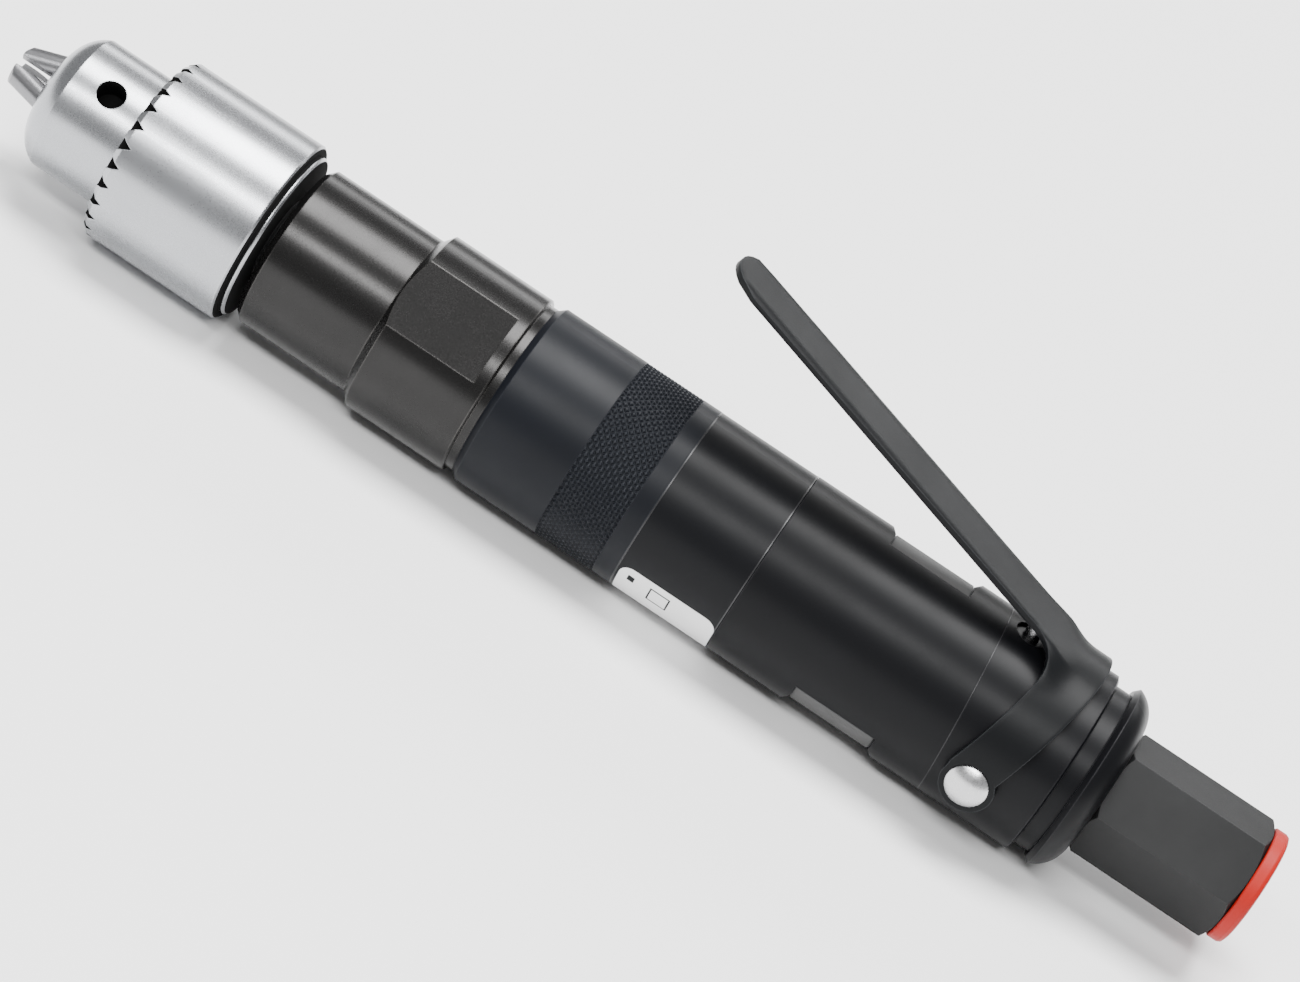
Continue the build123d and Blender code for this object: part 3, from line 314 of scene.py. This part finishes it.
# %% Bright parts
_, chuck_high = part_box("chuck_body")
sleeve_low, sleeve_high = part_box("chuck_sleeve")
pilot = mounts["key_hole_1"]
pilot_station = pilot["pos_m"][0]
pilot_radius = pilot["dims"]["r_mm"] * mm
nose_radius = math.hypot(*pilot["pos_m"][1:]) + pilot["dims"]["length_mm"] * mm / 2
skim = 0.1 * mm
pilot_reach = 1.1 * pilot_radius
rim_before = 0.2 * mm
rim_after = 0.47 * mm
back_before = 0.08 * mm
tooth_depth = 2.1 * mm
tooth_inner = 1.5 * mm
tooth_outer = 1.2 * mm
# Painted shade: the key-hole bores, the step behind the sleeve, the back of the body and the roots of the crown's
# teeth are made near black for the shade in these recesses.
chuck_shade_zones = (
    # the bores of the key holes
    (pilot_station - pilot_reach, pilot_station + pilot_reach, 0.0, nose_radius - skim),
    # the step behind the sleeve
    (sleeve_high.x - rim_before, sleeve_high.x + rim_after, 0.0, sleeve_high.y),
    # the back of the body
    (chuck_high.x - back_before, chuck_high.x + skim, 0.0, sleeve_high.y),
    # the roots of the crown's teeth
    (sleeve_low.x - skim, sleeve_low.x + tooth_depth, sleeve_high.y - tooth_inner, sleeve_high.y - tooth_outer),
)
chuck_satin = machined("chuck_satin", (0.43, 0.44, 0.46), 1.0, (0.22, 0.33), rings=0.5, ring_pitch=0.16,
                       grain=0.05, mottle=0.05, edge=0.35, edge_colour=(0.85, 0.85, 0.85), dark=0.8,
                       specular=0.1, shade_zones=chuck_shade_zones)
jaw_steel = machined("jaw_steel", (0.27, 0.27, 0.28), 1.0, (0.25, 0.4), rings=0.1, grain=0.2, edge=0.4,
                     edge_colour=(0.8, 0.8, 0.8), dark=0.7)
screw_bright = machined("screw_bright", (0.75, 0.75, 0.76), 1.0, (0.14, 0.36), grain=0.5, grain_size=0.5,
                        mottle=0.1, dark=0.6, edge_radius=0.15)
dress(chuck_satin, "chuck_body", "chuck_sleeve", "chuck_nut")
dress(jaw_steel, "jaw_1", "jaw_2", "jaw_3")
dress(screw_bright, "lever_screws")
print("nose radius in mm", round(nose_radius / mm, 2))

# %% [markdown]
# ## Blackened parts
# The gear case is steel with a black oxide skin: still metallic, and glossier than the rest. The motor
# housing, the exhaust sleeve and the head are aluminium, anodised black: slightly blue, with a fine grain.
# The hexagon is a dull grey-black. Wear shows as paler edges, a little on each.

# %% Blackened parts
gear_oxide = machined("gear_oxide", (0.030, 0.0293, 0.029), 0.85, (0.2, 0.31), rings=0.6, ring_pitch=0.35,
                      grain=0.15, mottle=0.12, edge=0.4, edge_colour=(0.2, 0.19, 0.18), dark=0.55)
anodised = machined("anodised", (0.006, 0.007, 0.0098), 0.0, (0.34, 0.46), rings=0.18, ring_pitch=0.4, grain=0.25,
                    grain_size=0.12, edge=0.4, edge_colour=(0.05, 0.055, 0.065), specular=0.13)
sleeve_black = machined("sleeve_black", (0.0048, 0.005, 0.006), 0.0, (0.3, 0.42), rings=0.12, ring_pitch=0.5,
                        grain=0.2, grain_size=0.14, edge=0.4, edge_colour=(0.06, 0.06, 0.065), specular=0.11)
hex_grey = machined("hex_grey", (0.0125, 0.0128, 0.0132), 0.0, (0.4, 0.52), rings=0.1, grain=0.35, grain_size=0.18,
                    edge=0.4, edge_colour=(0.08, 0.08, 0.08), specular=0.16)
dress(gear_oxide, "gear_case")
dress(sleeve_black, "plunger_bushing", "exhaust_sleeve", "throttle_body", "rear_flange")
dress(hex_grey, "inlet_bushing")

# %% [markdown]
# ## Moulded parts
# The dust plug is soft red plastic: no metal, a low sheen, and a surface that is slightly uneven from
# the mould. The seals and the valve's face are black rubber, rough and with no bright edges.

# %% Moulded parts
plug_red = machined("plug_red", (0.36, 0.006, 0.002), 0.0, (0.42, 0.55), grain=0.15, grain_size=0.3, mottle=0.06,
                    dark=0.8, edge_radius=0.35, specular=0.25)
rubber = machined("rubber", (0.02, 0.02, 0.02), 0.0, (0.7, 0.85), grain=0.5, grain_size=0.2)
dress(plug_red, "dust_plug")
dress(rubber, "shaft_seal", "plunger_seal", "valve_face", "valve_seat")

# %% [markdown]
# ## Parts inside the housing
# Nobody sees the motor and the gears until the tool is taken apart, but each still has its finish:
# ground shafts, hobbed gears, polished bearing races, brass cages, and cast iron round the rotor.

# %% Parts inside
shaft_look = dict(colour=(0.55, 0.55, 0.56), metallic=1.0, rough=(0.2, 0.32), rings=0.3, edge=0.3,
                  edge_colour=(0.8, 0.8, 0.8), dark=0.8)
shaft_steel = machined("shaft_steel", **shaft_look)
gear_steel = machined("gear_steel", (0.38, 0.38, 0.40), 1.0, (0.3, 0.45), grain=0.3, edge=0.4,
                      edge_colour=(0.7, 0.7, 0.7))
race_steel = machined("race_steel", (0.7, 0.7, 0.72), 1.0, (0.08, 0.16), rings=0.1, dark=0.9)
brass = machined("brass", (0.62, 0.42, 0.16), 1.0, (0.22, 0.38), rings=0.3, edge=0.3,
                 edge_colour=(0.85, 0.65, 0.35))
cast_iron = machined("cast_iron", (0.2, 0.2, 0.21), 0.9, (0.4, 0.6), grain=0.6, grain_size=0.3, edge=0.2)
phenolic = machined("phenolic", (0.16, 0.075, 0.03), 0.0, (0.45, 0.6), grain=0.4, grain_size=0.35, mottle=0.2)

# Painted shade: the spindle in the gap just behind the chuck, and its walls facing round the axis, are made near
# black.
shoulder_shade = 1.5 * mm
spindle_shade_zones = ((chuck_high.x - skim, chuck_high.x + shoulder_shade, 0.0, chuck_high.y),)
spindle_oiled = machined("spindle_oiled", **shaft_look, shade_zones=spindle_shade_zones)
dress(spindle_oiled, "spindle")
dress(shaft_steel, "planet_pins", "carrier_plate", "bearing_spacer", "bearing_cap", "rotor_shaft",
      "rotor", "liner_dowel", "spring_washer", "throttle_plunger", "tilt_valve", "inlet_screen")
dress(gear_steel, "planet_gear_1", "planet_gear_2", "planet_gear_3", "ring_gear")
dress(race_steel, *[name for name in nodes if name.endswith(("bearing_inner", "bearing_outer"))])
dress(brass, *[name for name in nodes if name.endswith("bearing_cage")], "muffler", "air_tube")
dress(cast_iron, "cylinder_liner", "front_end_plate", "rear_end_plate")
dress(phenolic, "vanes")

# %% [markdown]
# ## Making pieces
# The pieces built here are meshes made from points and faces. A helper turns a list of points and
# faces into an object with smooth shading, a finish and the body it rides on.

# %% Piece helper
def piece(name, points, faces, material, body, slot, sharp=math.radians(35)):
    """A mesh object from points and faces, riding on a body when one is named."""
    mesh = bpy.data.meshes.new(name)
    mesh.from_pydata([tuple(point) for point in points], [], faces)
    mesh.validate()
    mesh.update()
    for polygon in mesh.polygons:
        polygon.use_smooth = True
    mesh.set_sharp_from_angle(angle=sharp)
    mesh.materials.append(material)
    made = bpy.data.objects.new(name, mesh)
    bpy.context.scene.collection.objects.link(made)
    if body:
        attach(made, body)
    return made


def on_round(x, radius, angle):
    """A point at a station, a radius and an angle in radians from +Y towards +Z."""
    return Vector((x, radius * math.cos(angle), radius * math.sin(angle)))


# %% [markdown]
# ## The valve's spring
# A small coil spring closes the tilting valve. When the lever tips the valve, one end of the coil follows it
# and the other stays in the inlet. Here the spring is a copy of the CAD part, made a piece of its own
# that rides on no body, and the CAD part is hidden.

# %% Valve spring
coil = nodes["valve_spring"].data
coil_faces = [tuple(polygon.vertices) for polygon in coil.polygons]
valve_coil = piece("valve_coil", [vertex.co for vertex in coil.vertices], coil_faces, shaft_steel, None,
                   "shaft_steel")
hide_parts("valve_spring")
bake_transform(valve_coil)

# %% [markdown]
# ## The knurled grip
# A knurling wheel presses two sets of slanting grooves into the turned housing, and what stands
# between them is a field of small diamonds with flat tops. A texture could fake it, but the knurl
# shows on the outline, so it is modelled. On a grid with half a pitch between its lines, the
# points where row plus column is even are the crossings of the grooves, and each odd point is the middle
# of a diamond. The rest of the housing is a copy of the CAD part with its plain band taken out.

# %% Knurl sizes
land = mounts["body_land"]
body_radius = land["dims"]["r_mm"] * mm
knurl_front = land["pos_m"][0] + land["dims"]["length_mm"] * mm / 2
knurl_length = 9.9 * mm
knurl_depth = 0.38 * mm
knurl_count = 72
knurl_rows = 16
knurl_flat = 0.30
crest_wear = 0.03 * mm
band_slack = 0.01 * mm
skin_depth = 0.5 * mm
wall_overlap = 0.02 * mm
root_radius = body_radius - knurl_depth
print("knurl pitch in mm", round(2 * math.pi * body_radius / knurl_count / mm, 3))


# %% Knurl mesh
def knurl_points():
    """Points and faces of the knurled band, open at its two ends."""
    columns = 2 * knurl_count
    step = knurl_length / knurl_rows
    crest = body_radius - crest_wear
    points = []
    faces = []
    grid = {}

    def add(x, radius, column):
        points.append(on_round(x, radius, column * math.pi / knurl_count))
        return len(points) - 1

    for row in range(knurl_rows + 1):
        for column in range(columns):
            if (row + column) % 2 == 0:
                grid[row, column] = add(knurl_front + row * step, root_radius, column)
    for row in range(knurl_rows + 1):
        for column in range(columns):
            if (row + column) % 2 == 0:
                continue
            sides = [(row, column + 1), (row + 1, column), (row, column - 1), (row - 1, column)]
            inside = [0 <= near_row <= knurl_rows for near_row, _ in sides]
            low = [grid[r, c % columns] for (r, c), kept in zip(sides, inside) if kept]
            high = []
            for (near_row, near_column), kept in zip(sides, inside):
                toward_row = row + (near_row - row) * knurl_flat * kept
                toward_column = column + (near_column - column) * knurl_flat
                high.append(add(knurl_front + toward_row * step, crest, toward_column))
            if all(inside):
                faces.append(tuple(reversed(high)))
                for corner in range(4):
                    after = (corner + 1) % 4
                    faces.append((low[corner], high[corner], high[after], low[after]))
            else:
                kept = [corner for corner in range(4) if inside[corner]]
                lost = inside.index(False)
                first, second, third = (lost + 1) % 4, (lost + 2) % 4, (lost + 3) % 4
                lows = {corner: low[place] for place, corner in enumerate(kept)}
                faces.append((high[third], high[second], high[first], high[lost]))
                faces.append((lows[first], high[first], high[second], lows[second]))
                faces.append((lows[second], high[second], high[third], lows[third]))
    return points, faces


knurl_vertices, knurl_faces = knurl_points()
print("knurl faces", len(knurl_faces))

# %% Grip housing
grip_points = list(knurl_vertices)
grip_faces = list(knurl_faces)
source = nodes["motor_housing"].data
knurl_back = knurl_front + knurl_length
kept_points = {}
for polygon in source.polygons:
    corners = [source.vertices[index].co for index in polygon.vertices]
    in_band = all(knurl_front - band_slack <= c.x <= knurl_back + band_slack for c in corners)
    outside = all(math.hypot(c.y, c.z) > body_radius - skin_depth for c in corners)
    if in_band and outside:
        continue
    face = []
    for index in polygon.vertices:
        if index not in kept_points:
            kept_points[index] = len(grip_points)
            grip_points.append(source.vertices[index].co.copy())
        face.append(kept_points[index])
    grip_faces.append(tuple(face))
for station in (knurl_front, knurl_back):
    sides = 4 * knurl_count
    inner = len(grip_points)
    for place in range(sides):
        grip_points.append(on_round(station, root_radius - wall_overlap, 2 * math.pi * place / sides))
    outer = len(grip_points)
    for place in range(sides):
        grip_points.append(on_round(station, body_radius, 2 * math.pi * place / sides))
    for place in range(sides):
        after = (place + 1) % sides
        wall = (inner + place, inner + after, outer + after, outer + place)
        grip_faces.append(wall if station == knurl_back else tuple(reversed(wall)))
grip = piece("grip_housing", grip_points, grip_faces, anodised, "housing", "housing_black", math.radians(20))
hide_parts("motor_housing")
print("grip faces", len(grip.data.polygons))

# %% [markdown]
# ## The lever
# The lever is one steel sheet, a millimetre thick. Its blade is flat with a full round tip, and at
# the back it widens and folds down over the head into a band with an ear on each side. It is built as
# the sheet's outer skin and then thickened with a Solidify modifier, as a press makes it from flat stock.
# The skin is drawn in two directions: stations along the tool, and a distance `s` measured across the sheet
# from its middle line, down over the shoulder and along the ear. A rise lifts the blade off the round.

# %% Lever sizes
lever_low, lever_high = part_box("lever")
pivot = Vector(joints["lever_press"]["pos_m"])
pivot_hole_radius = 2.45 * mm
lever_outer = lever_high.y
lever_sheet = 1.05 * mm
blade_half = 4.75 * mm
blade_slope = math.tan(math.radians(17.75))
bend_x = pivot.x + 4.1 * mm
bend_softness = 2.2 * mm
flare_radius = 4.6 * mm
flare_start = 73.6 * mm
band_lean = math.radians(16)
band_front = 4.45 * mm
band_back = 2.65 * mm
ear_radius = 4.2 * mm
quarter = lever_outer * math.pi / 2
held_inside = 0.9 * blade_half
held_outside = blade_half + 1.2 * flare_radius
round_until = 0.2 * mm
flat_from = 1.6 * mm
arris_width = 0.16 * mm
arris_angle = math.radians(50)
print("lever blade", round(2 * blade_half / mm, 2), "wide, pivot at", round(pivot.x / mm, 2))


# %% Lever outline
def smooth(value, low, high):
    """A soft step from 0 at low to 1 at high."""
    share = min(1.0, max(0.0, (value - low) / (high - low)))
    return share * share * (3 - 2 * share)


def band_edge(z, sideways):
    """Station of a straight edge of the leaning band at a height."""
    foot = Vector((pivot.x + sideways * math.cos(band_lean), 0, pivot.z - sideways * math.sin(band_lean)))
    return foot.x + (z - foot.z) * math.tan(band_lean)


def ear_edge(z, side):
    """Station of the ear's round edge at a height."""
    drop = min(ear_radius, abs(z - pivot.z))
    return pivot.x + side * math.sqrt(ear_radius ** 2 - drop ** 2)


def rise(x):
    """How far the blade stands above the round of the band."""
    ahead = bend_x - x
    return blade_slope * (ahead + math.hypot(ahead, bend_softness)) / 2


def skin(x, s):
    """Outer skin of the sheet at a station and a distance from the middle line."""
    across = abs(s)
    if across <= quarter:
        y = lever_outer * math.sin(across / lever_outer)
        z = lever_outer * math.cos(across / lever_outer)
    else:
        y = lever_outer
        z = -(across - quarter)
    lift = rise(x)
    held = 1 - smooth(across, held_inside, held_outside)
    flat = held * smooth(lift, round_until, flat_from)
    y += (across - y) * flat
    z += (lever_outer - z) * flat + lift * held
    return Vector((x, math.copysign(y, s) if s else 0.0, z))


def front_edge(s):
    """Station of the band's front edge outside the blade."""
    height = skin(bend_x, s).z
    straight = band_edge(height, -band_front)
    if height < pivot.z + band_front * math.sin(band_lean):
        straight = ear_edge(height, -1)
    turned = min(1.0, (abs(s) - blade_half) / flare_radius)
    flare = flare_start + (straight - flare_start) * math.sqrt(1 - (1 - turned) ** 2)
    return min(flare, straight) if turned < 1 else straight


def rear_edge(s):
    """Station of the band's rear edge."""
    height = skin(bend_x + band_back, s).z
    straight = band_edge(height, band_back) if height > pivot.z - band_back * math.sin(band_lean) else 0.0
    return max(straight, ear_edge(height, 1))


print("band at the top runs from", round(band_edge(lever_outer, -band_front) / mm, 2), "to",
      round(rear_edge(0) / mm, 2))

# %% Lever skin
blade_columns = 10
flare_columns = 8
band_columns = 16
ear_columns = 10
blade_rows = 44
band_rows = 12

quarter_turn = math.pi / 2
wing = [blade_half + flare_radius * (1 - math.cos(quarter_turn * k / flare_columns)) for k in range(flare_columns)]
wing_end = blade_half + flare_radius
ear_top = quarter - pivot.z
wing += [wing_end + (ear_top - wing_end) * k / band_columns for k in range(band_columns)]
wing += [ear_top + ear_radius * math.sin(quarter_turn * k / ear_columns) for k in range(ear_columns)]
middle = [blade_half * (2 * k / blade_columns - 1) for k in range(1, blade_columns)]

lever_points = []
lever_faces = []
row_points = {}


def lever_point(row, s, x):
    """Number of the skin's point in a row, made the first time that it is asked for."""
    key = (row, round(s / mm, 4))
    if key not in row_points:
        row_points[key] = len(lever_points)
        lever_points.append(skin(x, s))
    return row_points[key]


def strip(rows_of_points):
    """Joins neighbouring columns of points into faces."""
    for one, two in zip(rows_of_points, rows_of_points[1:]):
        for k in range(len(one) - 1):
            lever_faces.append((one[k], one[k + 1], two[k + 1], two[k]))


tip_x = lever_low.x
columns = []
for s in (-blade_half, *middle, blade_half):
    start = tip_x + blade_half - math.sqrt(max(0.0, blade_half ** 2 - s ** 2))
    line = []
    for row in range(blade_rows):
        line.append(lever_point(row, s, start + (flare_start - start) * (row / blade_rows)))
    for row in range(band_rows + 1):
        x = flare_start + (rear_edge(s) - flare_start) * row / band_rows
        line.append(lever_point(blade_rows + row, s, x))
    columns.append(line)
strip(columns)
for side in (-1, 1):
    columns = []
    for s in wing:
        front = front_edge(s)
        rear = rear_edge(s)
        line = [
            lever_point(blade_rows + row, side * s, front + (rear - front) * row / band_rows)
            for row in range(band_rows + 1)
        ]
        columns.append(line if side > 0 else line[::-1])
    strip(columns)
print("lever skin", len(lever_points), "points")

# %% [markdown]
# The skin becomes a sheet: Solidify thickens it inwards, a small Bevel takes the sharp arris off the
# stamped edges, and a boolean cut opens the pivot hole in each ear. All three are applied, so the
# mesh that rides on the lever is the finished one.

# %% Lever sheet
lever_black = machined("lever_black", (0.0045, 0.005, 0.0058), 0.0, (0.34, 0.46), grain=0.3, grain_size=0.16,
                       edge=0.5, edge_colour=(0.07, 0.075, 0.08), edge_radius=0.3, specular=0.12)
lever = piece("lever_sheet", lever_points, lever_faces, lever_black, "lever", "lever_black")
thicken = lever.modifiers.new("thickness", "SOLIDIFY")
thicken.thickness = lever_sheet
thicken.offset = -1
thicken.use_even_offset = True
arris = lever.modifiers.new("arris", "BEVEL")
arris.width = arris_width
arris.segments = 2
arris.limit_method = "ANGLE"
arris.angle_limit = arris_angle

punch_data = bpy.data.meshes.new("punch")
punch_form = bmesh.new()
punch_place = Matrix.Translation(pivot) @ Matrix.Rotation(quarter_turn, 4, "X")
bmesh.ops.create_cone(punch_form, cap_ends=True, segments=48, radius1=pivot_hole_radius,
                      radius2=pivot_hole_radius, depth=4 * lever_outer, matrix=punch_place)
punch_form.to_mesh(punch_data)
punch_form.free()
punch = bpy.data.objects.new("punch", punch_data)
bpy.context.scene.collection.objects.link(punch)
hole = lever.modifiers.new("pivot_hole", "BOOLEAN")
hole.operation = "DIFFERENCE"
hole.solver = "EXACT"
hole.object = punch

bpy.context.view_layer.update()
graph = bpy.context.evaluated_depsgraph_get()
finished = bpy.data.meshes.new_from_object(lever.evaluated_get(graph))
lever.modifiers.clear()
lever.data = finished
bpy.data.objects.remove(punch)
lever.data.set_sharp_from_angle(angle=math.radians(30))
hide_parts("lever")

press = math.radians(joints["lever_press"]["range_deg"][1])
least = 1.0
for vertex in lever.data.vertices:
    arm = vertex.co - pivot
    pressed_z = pivot.z + arm.x * math.sin(press) + arm.z * math.cos(press)
    if pressed_z > 0:
        least = min(least, math.hypot(vertex.co.y, pressed_z))
print("lever faces", len(lever.data.polygons), "nearest to the axis when pressed, mm", round(least / mm, 2))

# %% [markdown]
# ## The label
# A printed film lies in a shallow recess round the housing. It is black and shinier than the metal,
# with a thin pale line at each end, where the film's edge catches the light. The white panel is
# a print on it with rounded corners. The panel is a curved patch, so it is drawn on the unrolled film
# and wrapped round.

# %% Label film
film_black = machined("film_black", (0.0045, 0.0048, 0.006), 0.0, (0.3, 0.4), grain=0.04, grain_size=0.2,
                      mottle=0.06, specular=0.12, edge_radius=0.1)
panel_white = machined("panel_white", (0.80, 0.80, 0.80), 0.0, (0.4, 0.5), grain=0.08, mottle=0.04, dark=0.92,
                       edge_radius=0.1)
# A paler finish for painted highlights: thin rings where a thin edge catches the light, mottled so that the lines
# fade.
film_edge = machined("film_edge", (0.04, 0.04, 0.043), 0.3, (0.25, 0.35), mottle=0.06, dark=0.08,
                     edge_radius=0.1)
dress(film_black, "label_film")

film_low, film_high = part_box("label_film")
panel_low, panel_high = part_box("label_panel")
film_radius = film_high.y
panel_start = math.radians(199)
panel_span = math.radians(130)
panel_corner = 2.0 * mm
panel_front = panel_low.x
panel_back = panel_high.x
corner_steps = 6
line_turn = 1.9999 * math.pi
line_steps = 160
line_corner = 0.02 * mm
film_tuck = 0.01 * mm
film_lift = 0.035 * mm
film_edge_width = 0.22 * mm


def wrapped_patch(front, rear, start, span, corner, low, high, steps=40):
    """Points and faces of a curved patch with rounded corners, from one radius to another."""
    points = []
    faces = []
    steps_in = [corner * (1 - math.cos(quarter_turn * k / corner_steps)) for k in range(corner_steps + 1)]
    stations = [front + step for step in steps_in] + [rear - step for step in reversed(steps_in)]
    for x in stations:
        inset = corner - min(corner, x - front, rear - x)
        trim = (corner - math.sqrt(max(0.0, corner ** 2 - inset ** 2))) / high
        for radius in (low, high):
            for k in range(steps + 1):
                angle = start + trim + (span - 2 * trim) * k / steps
                points.append(on_round(x, radius, angle))
    layer = steps + 1
    for column in range(len(stations) - 1):
        one = column * 2 * layer
        two = one + 2 * layer
        for k in range(steps):
            faces.append((one + layer + k, two + layer + k, two + layer + k + 1, one + layer + k + 1))
            faces.append((one + k, one + k + 1, two + k + 1, two + k))
        faces.append((one, two, two + layer, one + layer))
        faces.append((one + steps, one + layer + steps, two + layer + steps, two + steps))
    for base, flip in ((0, False), ((len(stations) - 1) * 2 * layer, True)):
        for k in range(steps):
            end = (base + k, base + layer + k, base + layer + k + 1, base + k + 1)
            faces.append(tuple(reversed(end)) if flip else end)
    return points, faces


def round_line(front, rear, low, high):
    """Points and faces of a thin line all the way round."""
    return wrapped_patch(front, rear, 0.0, line_turn, line_corner, low, high, line_steps)


patch = wrapped_patch(panel_front, panel_back, panel_start, panel_span, panel_corner,
                      film_radius - film_tuck, body_radius)
panel = piece("label_print", *patch, panel_white, "housing", "panel_white")
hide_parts("label_panel")
# The pale line at each end of the film is a painted highlight, a thin ring of the highlight finish.
for name, station in (("front", film_low.x), ("rear", film_high.x - film_edge_width)):
    line = round_line(station, station + film_edge_width, film_radius - film_tuck, film_radius + film_lift)
    piece(f"film_edge_{name}", *line, film_edge, "housing", "film_black")
print("panel from", round(panel_front / mm, 1), "to", round(panel_back / mm, 1))

# %% [markdown]
# The print on the panel is a plain bar and an empty box, which stand for whatever a maker would print there.
# Each mark is the same kind of curved patch, and stands a hundredth of a millimetre proud of the panel.

# %% Printed marks
ink_thickness = 0.012 * mm
mark_width = 0.25 * mm
mark_corner = 0.01 * mm
mark_steps = 8
bar_front = panel_front + 1.5 * mm
bar_back = panel_front + 2.6 * mm
box_front = panel_front + 5.2 * mm
box_back = panel_front + 8.6 * mm
box_low = math.radians(204)
box_high = math.radians(217)
mark_turn = mark_width / body_radius
marks = {
    "bar": (bar_front, bar_back, math.radians(205), math.radians(5)),
    "box_front": (box_front, box_front + mark_width, box_low, box_high - box_low),
    "box_rear": (box_back - mark_width, box_back, box_low, box_high - box_low),
    "box_top": (box_front, box_back, box_low, mark_turn),
    "box_bottom": (box_front, box_back, box_high - mark_turn, mark_turn),
}
for name, (front, rear, start, span) in marks.items():
    ink = wrapped_patch(front, rear, start, span, mark_corner, body_radius - ink_thickness,
                        body_radius + ink_thickness, mark_steps)
    piece(f"mark_{name}", *ink, film_black, "housing", "film_black")
print("marks", len(marks))

# %% [markdown]
# ## Window screens and the head's seam
# Behind each exhaust window lies a fine steel screen, which spreads the air and keeps grit out. It is a
# curved patch on the housing under the sleeve. At the seam in front of the throttle head, a thin bright ring
# is a painted highlight, where the seam's edge catches the light. The seam leans, so the same patch is drawn all
# the way round and then each of its points is moved along X by its height on the side the seam leans to.

# %% Screens and seam
screen_steel = machined("screen_steel", (0.12, 0.12, 0.12), 0.0, (0.55, 0.7), grain=0.9, grain_size=0.35,
                        mottle=0.12, dark=0.7, edge_radius=0.1, specular=0.05)
window_front = 50.9 * mm
window_back = 64.2 * mm
screen_low = 13.92 * mm
screen_thickness = 0.15 * mm
screen_half = math.radians(31)
screen_corner = 0.5 * mm
for name, middle_angle in (("upper", math.radians(60)), ("lower", math.radians(240))):
    patch = wrapped_patch(window_front, window_back, middle_angle - screen_half, 2 * screen_half, screen_corner,
                          screen_low, screen_low + screen_thickness)
    piece(f"exhaust_screen_{name}", *patch, screen_steel, "housing", "shaft_steel")

# The seam's thin bright line is a painted highlight, a leaning ring of the highlight finish.
seam_station = 72.1 * mm
seam_lean = math.radians(5.4)
seam_side = on_round(0.0, 1.0, math.radians(60))
seam_depth = 0.02 * mm
seam_width = 0.11 * mm
ring_points, ring_faces = round_line(seam_station - seam_width / 2, seam_station + seam_width / 2,
                                     body_radius - seam_depth, body_radius + seam_depth)
leaned = [point - Vector((point.dot(seam_side) * math.tan(seam_lean), 0, 0)) for point in ring_points]
piece("seam_edge", leaned, ring_faces, film_edge, "housing", "housing_black")
print("seam at", round(seam_station / mm, 1))
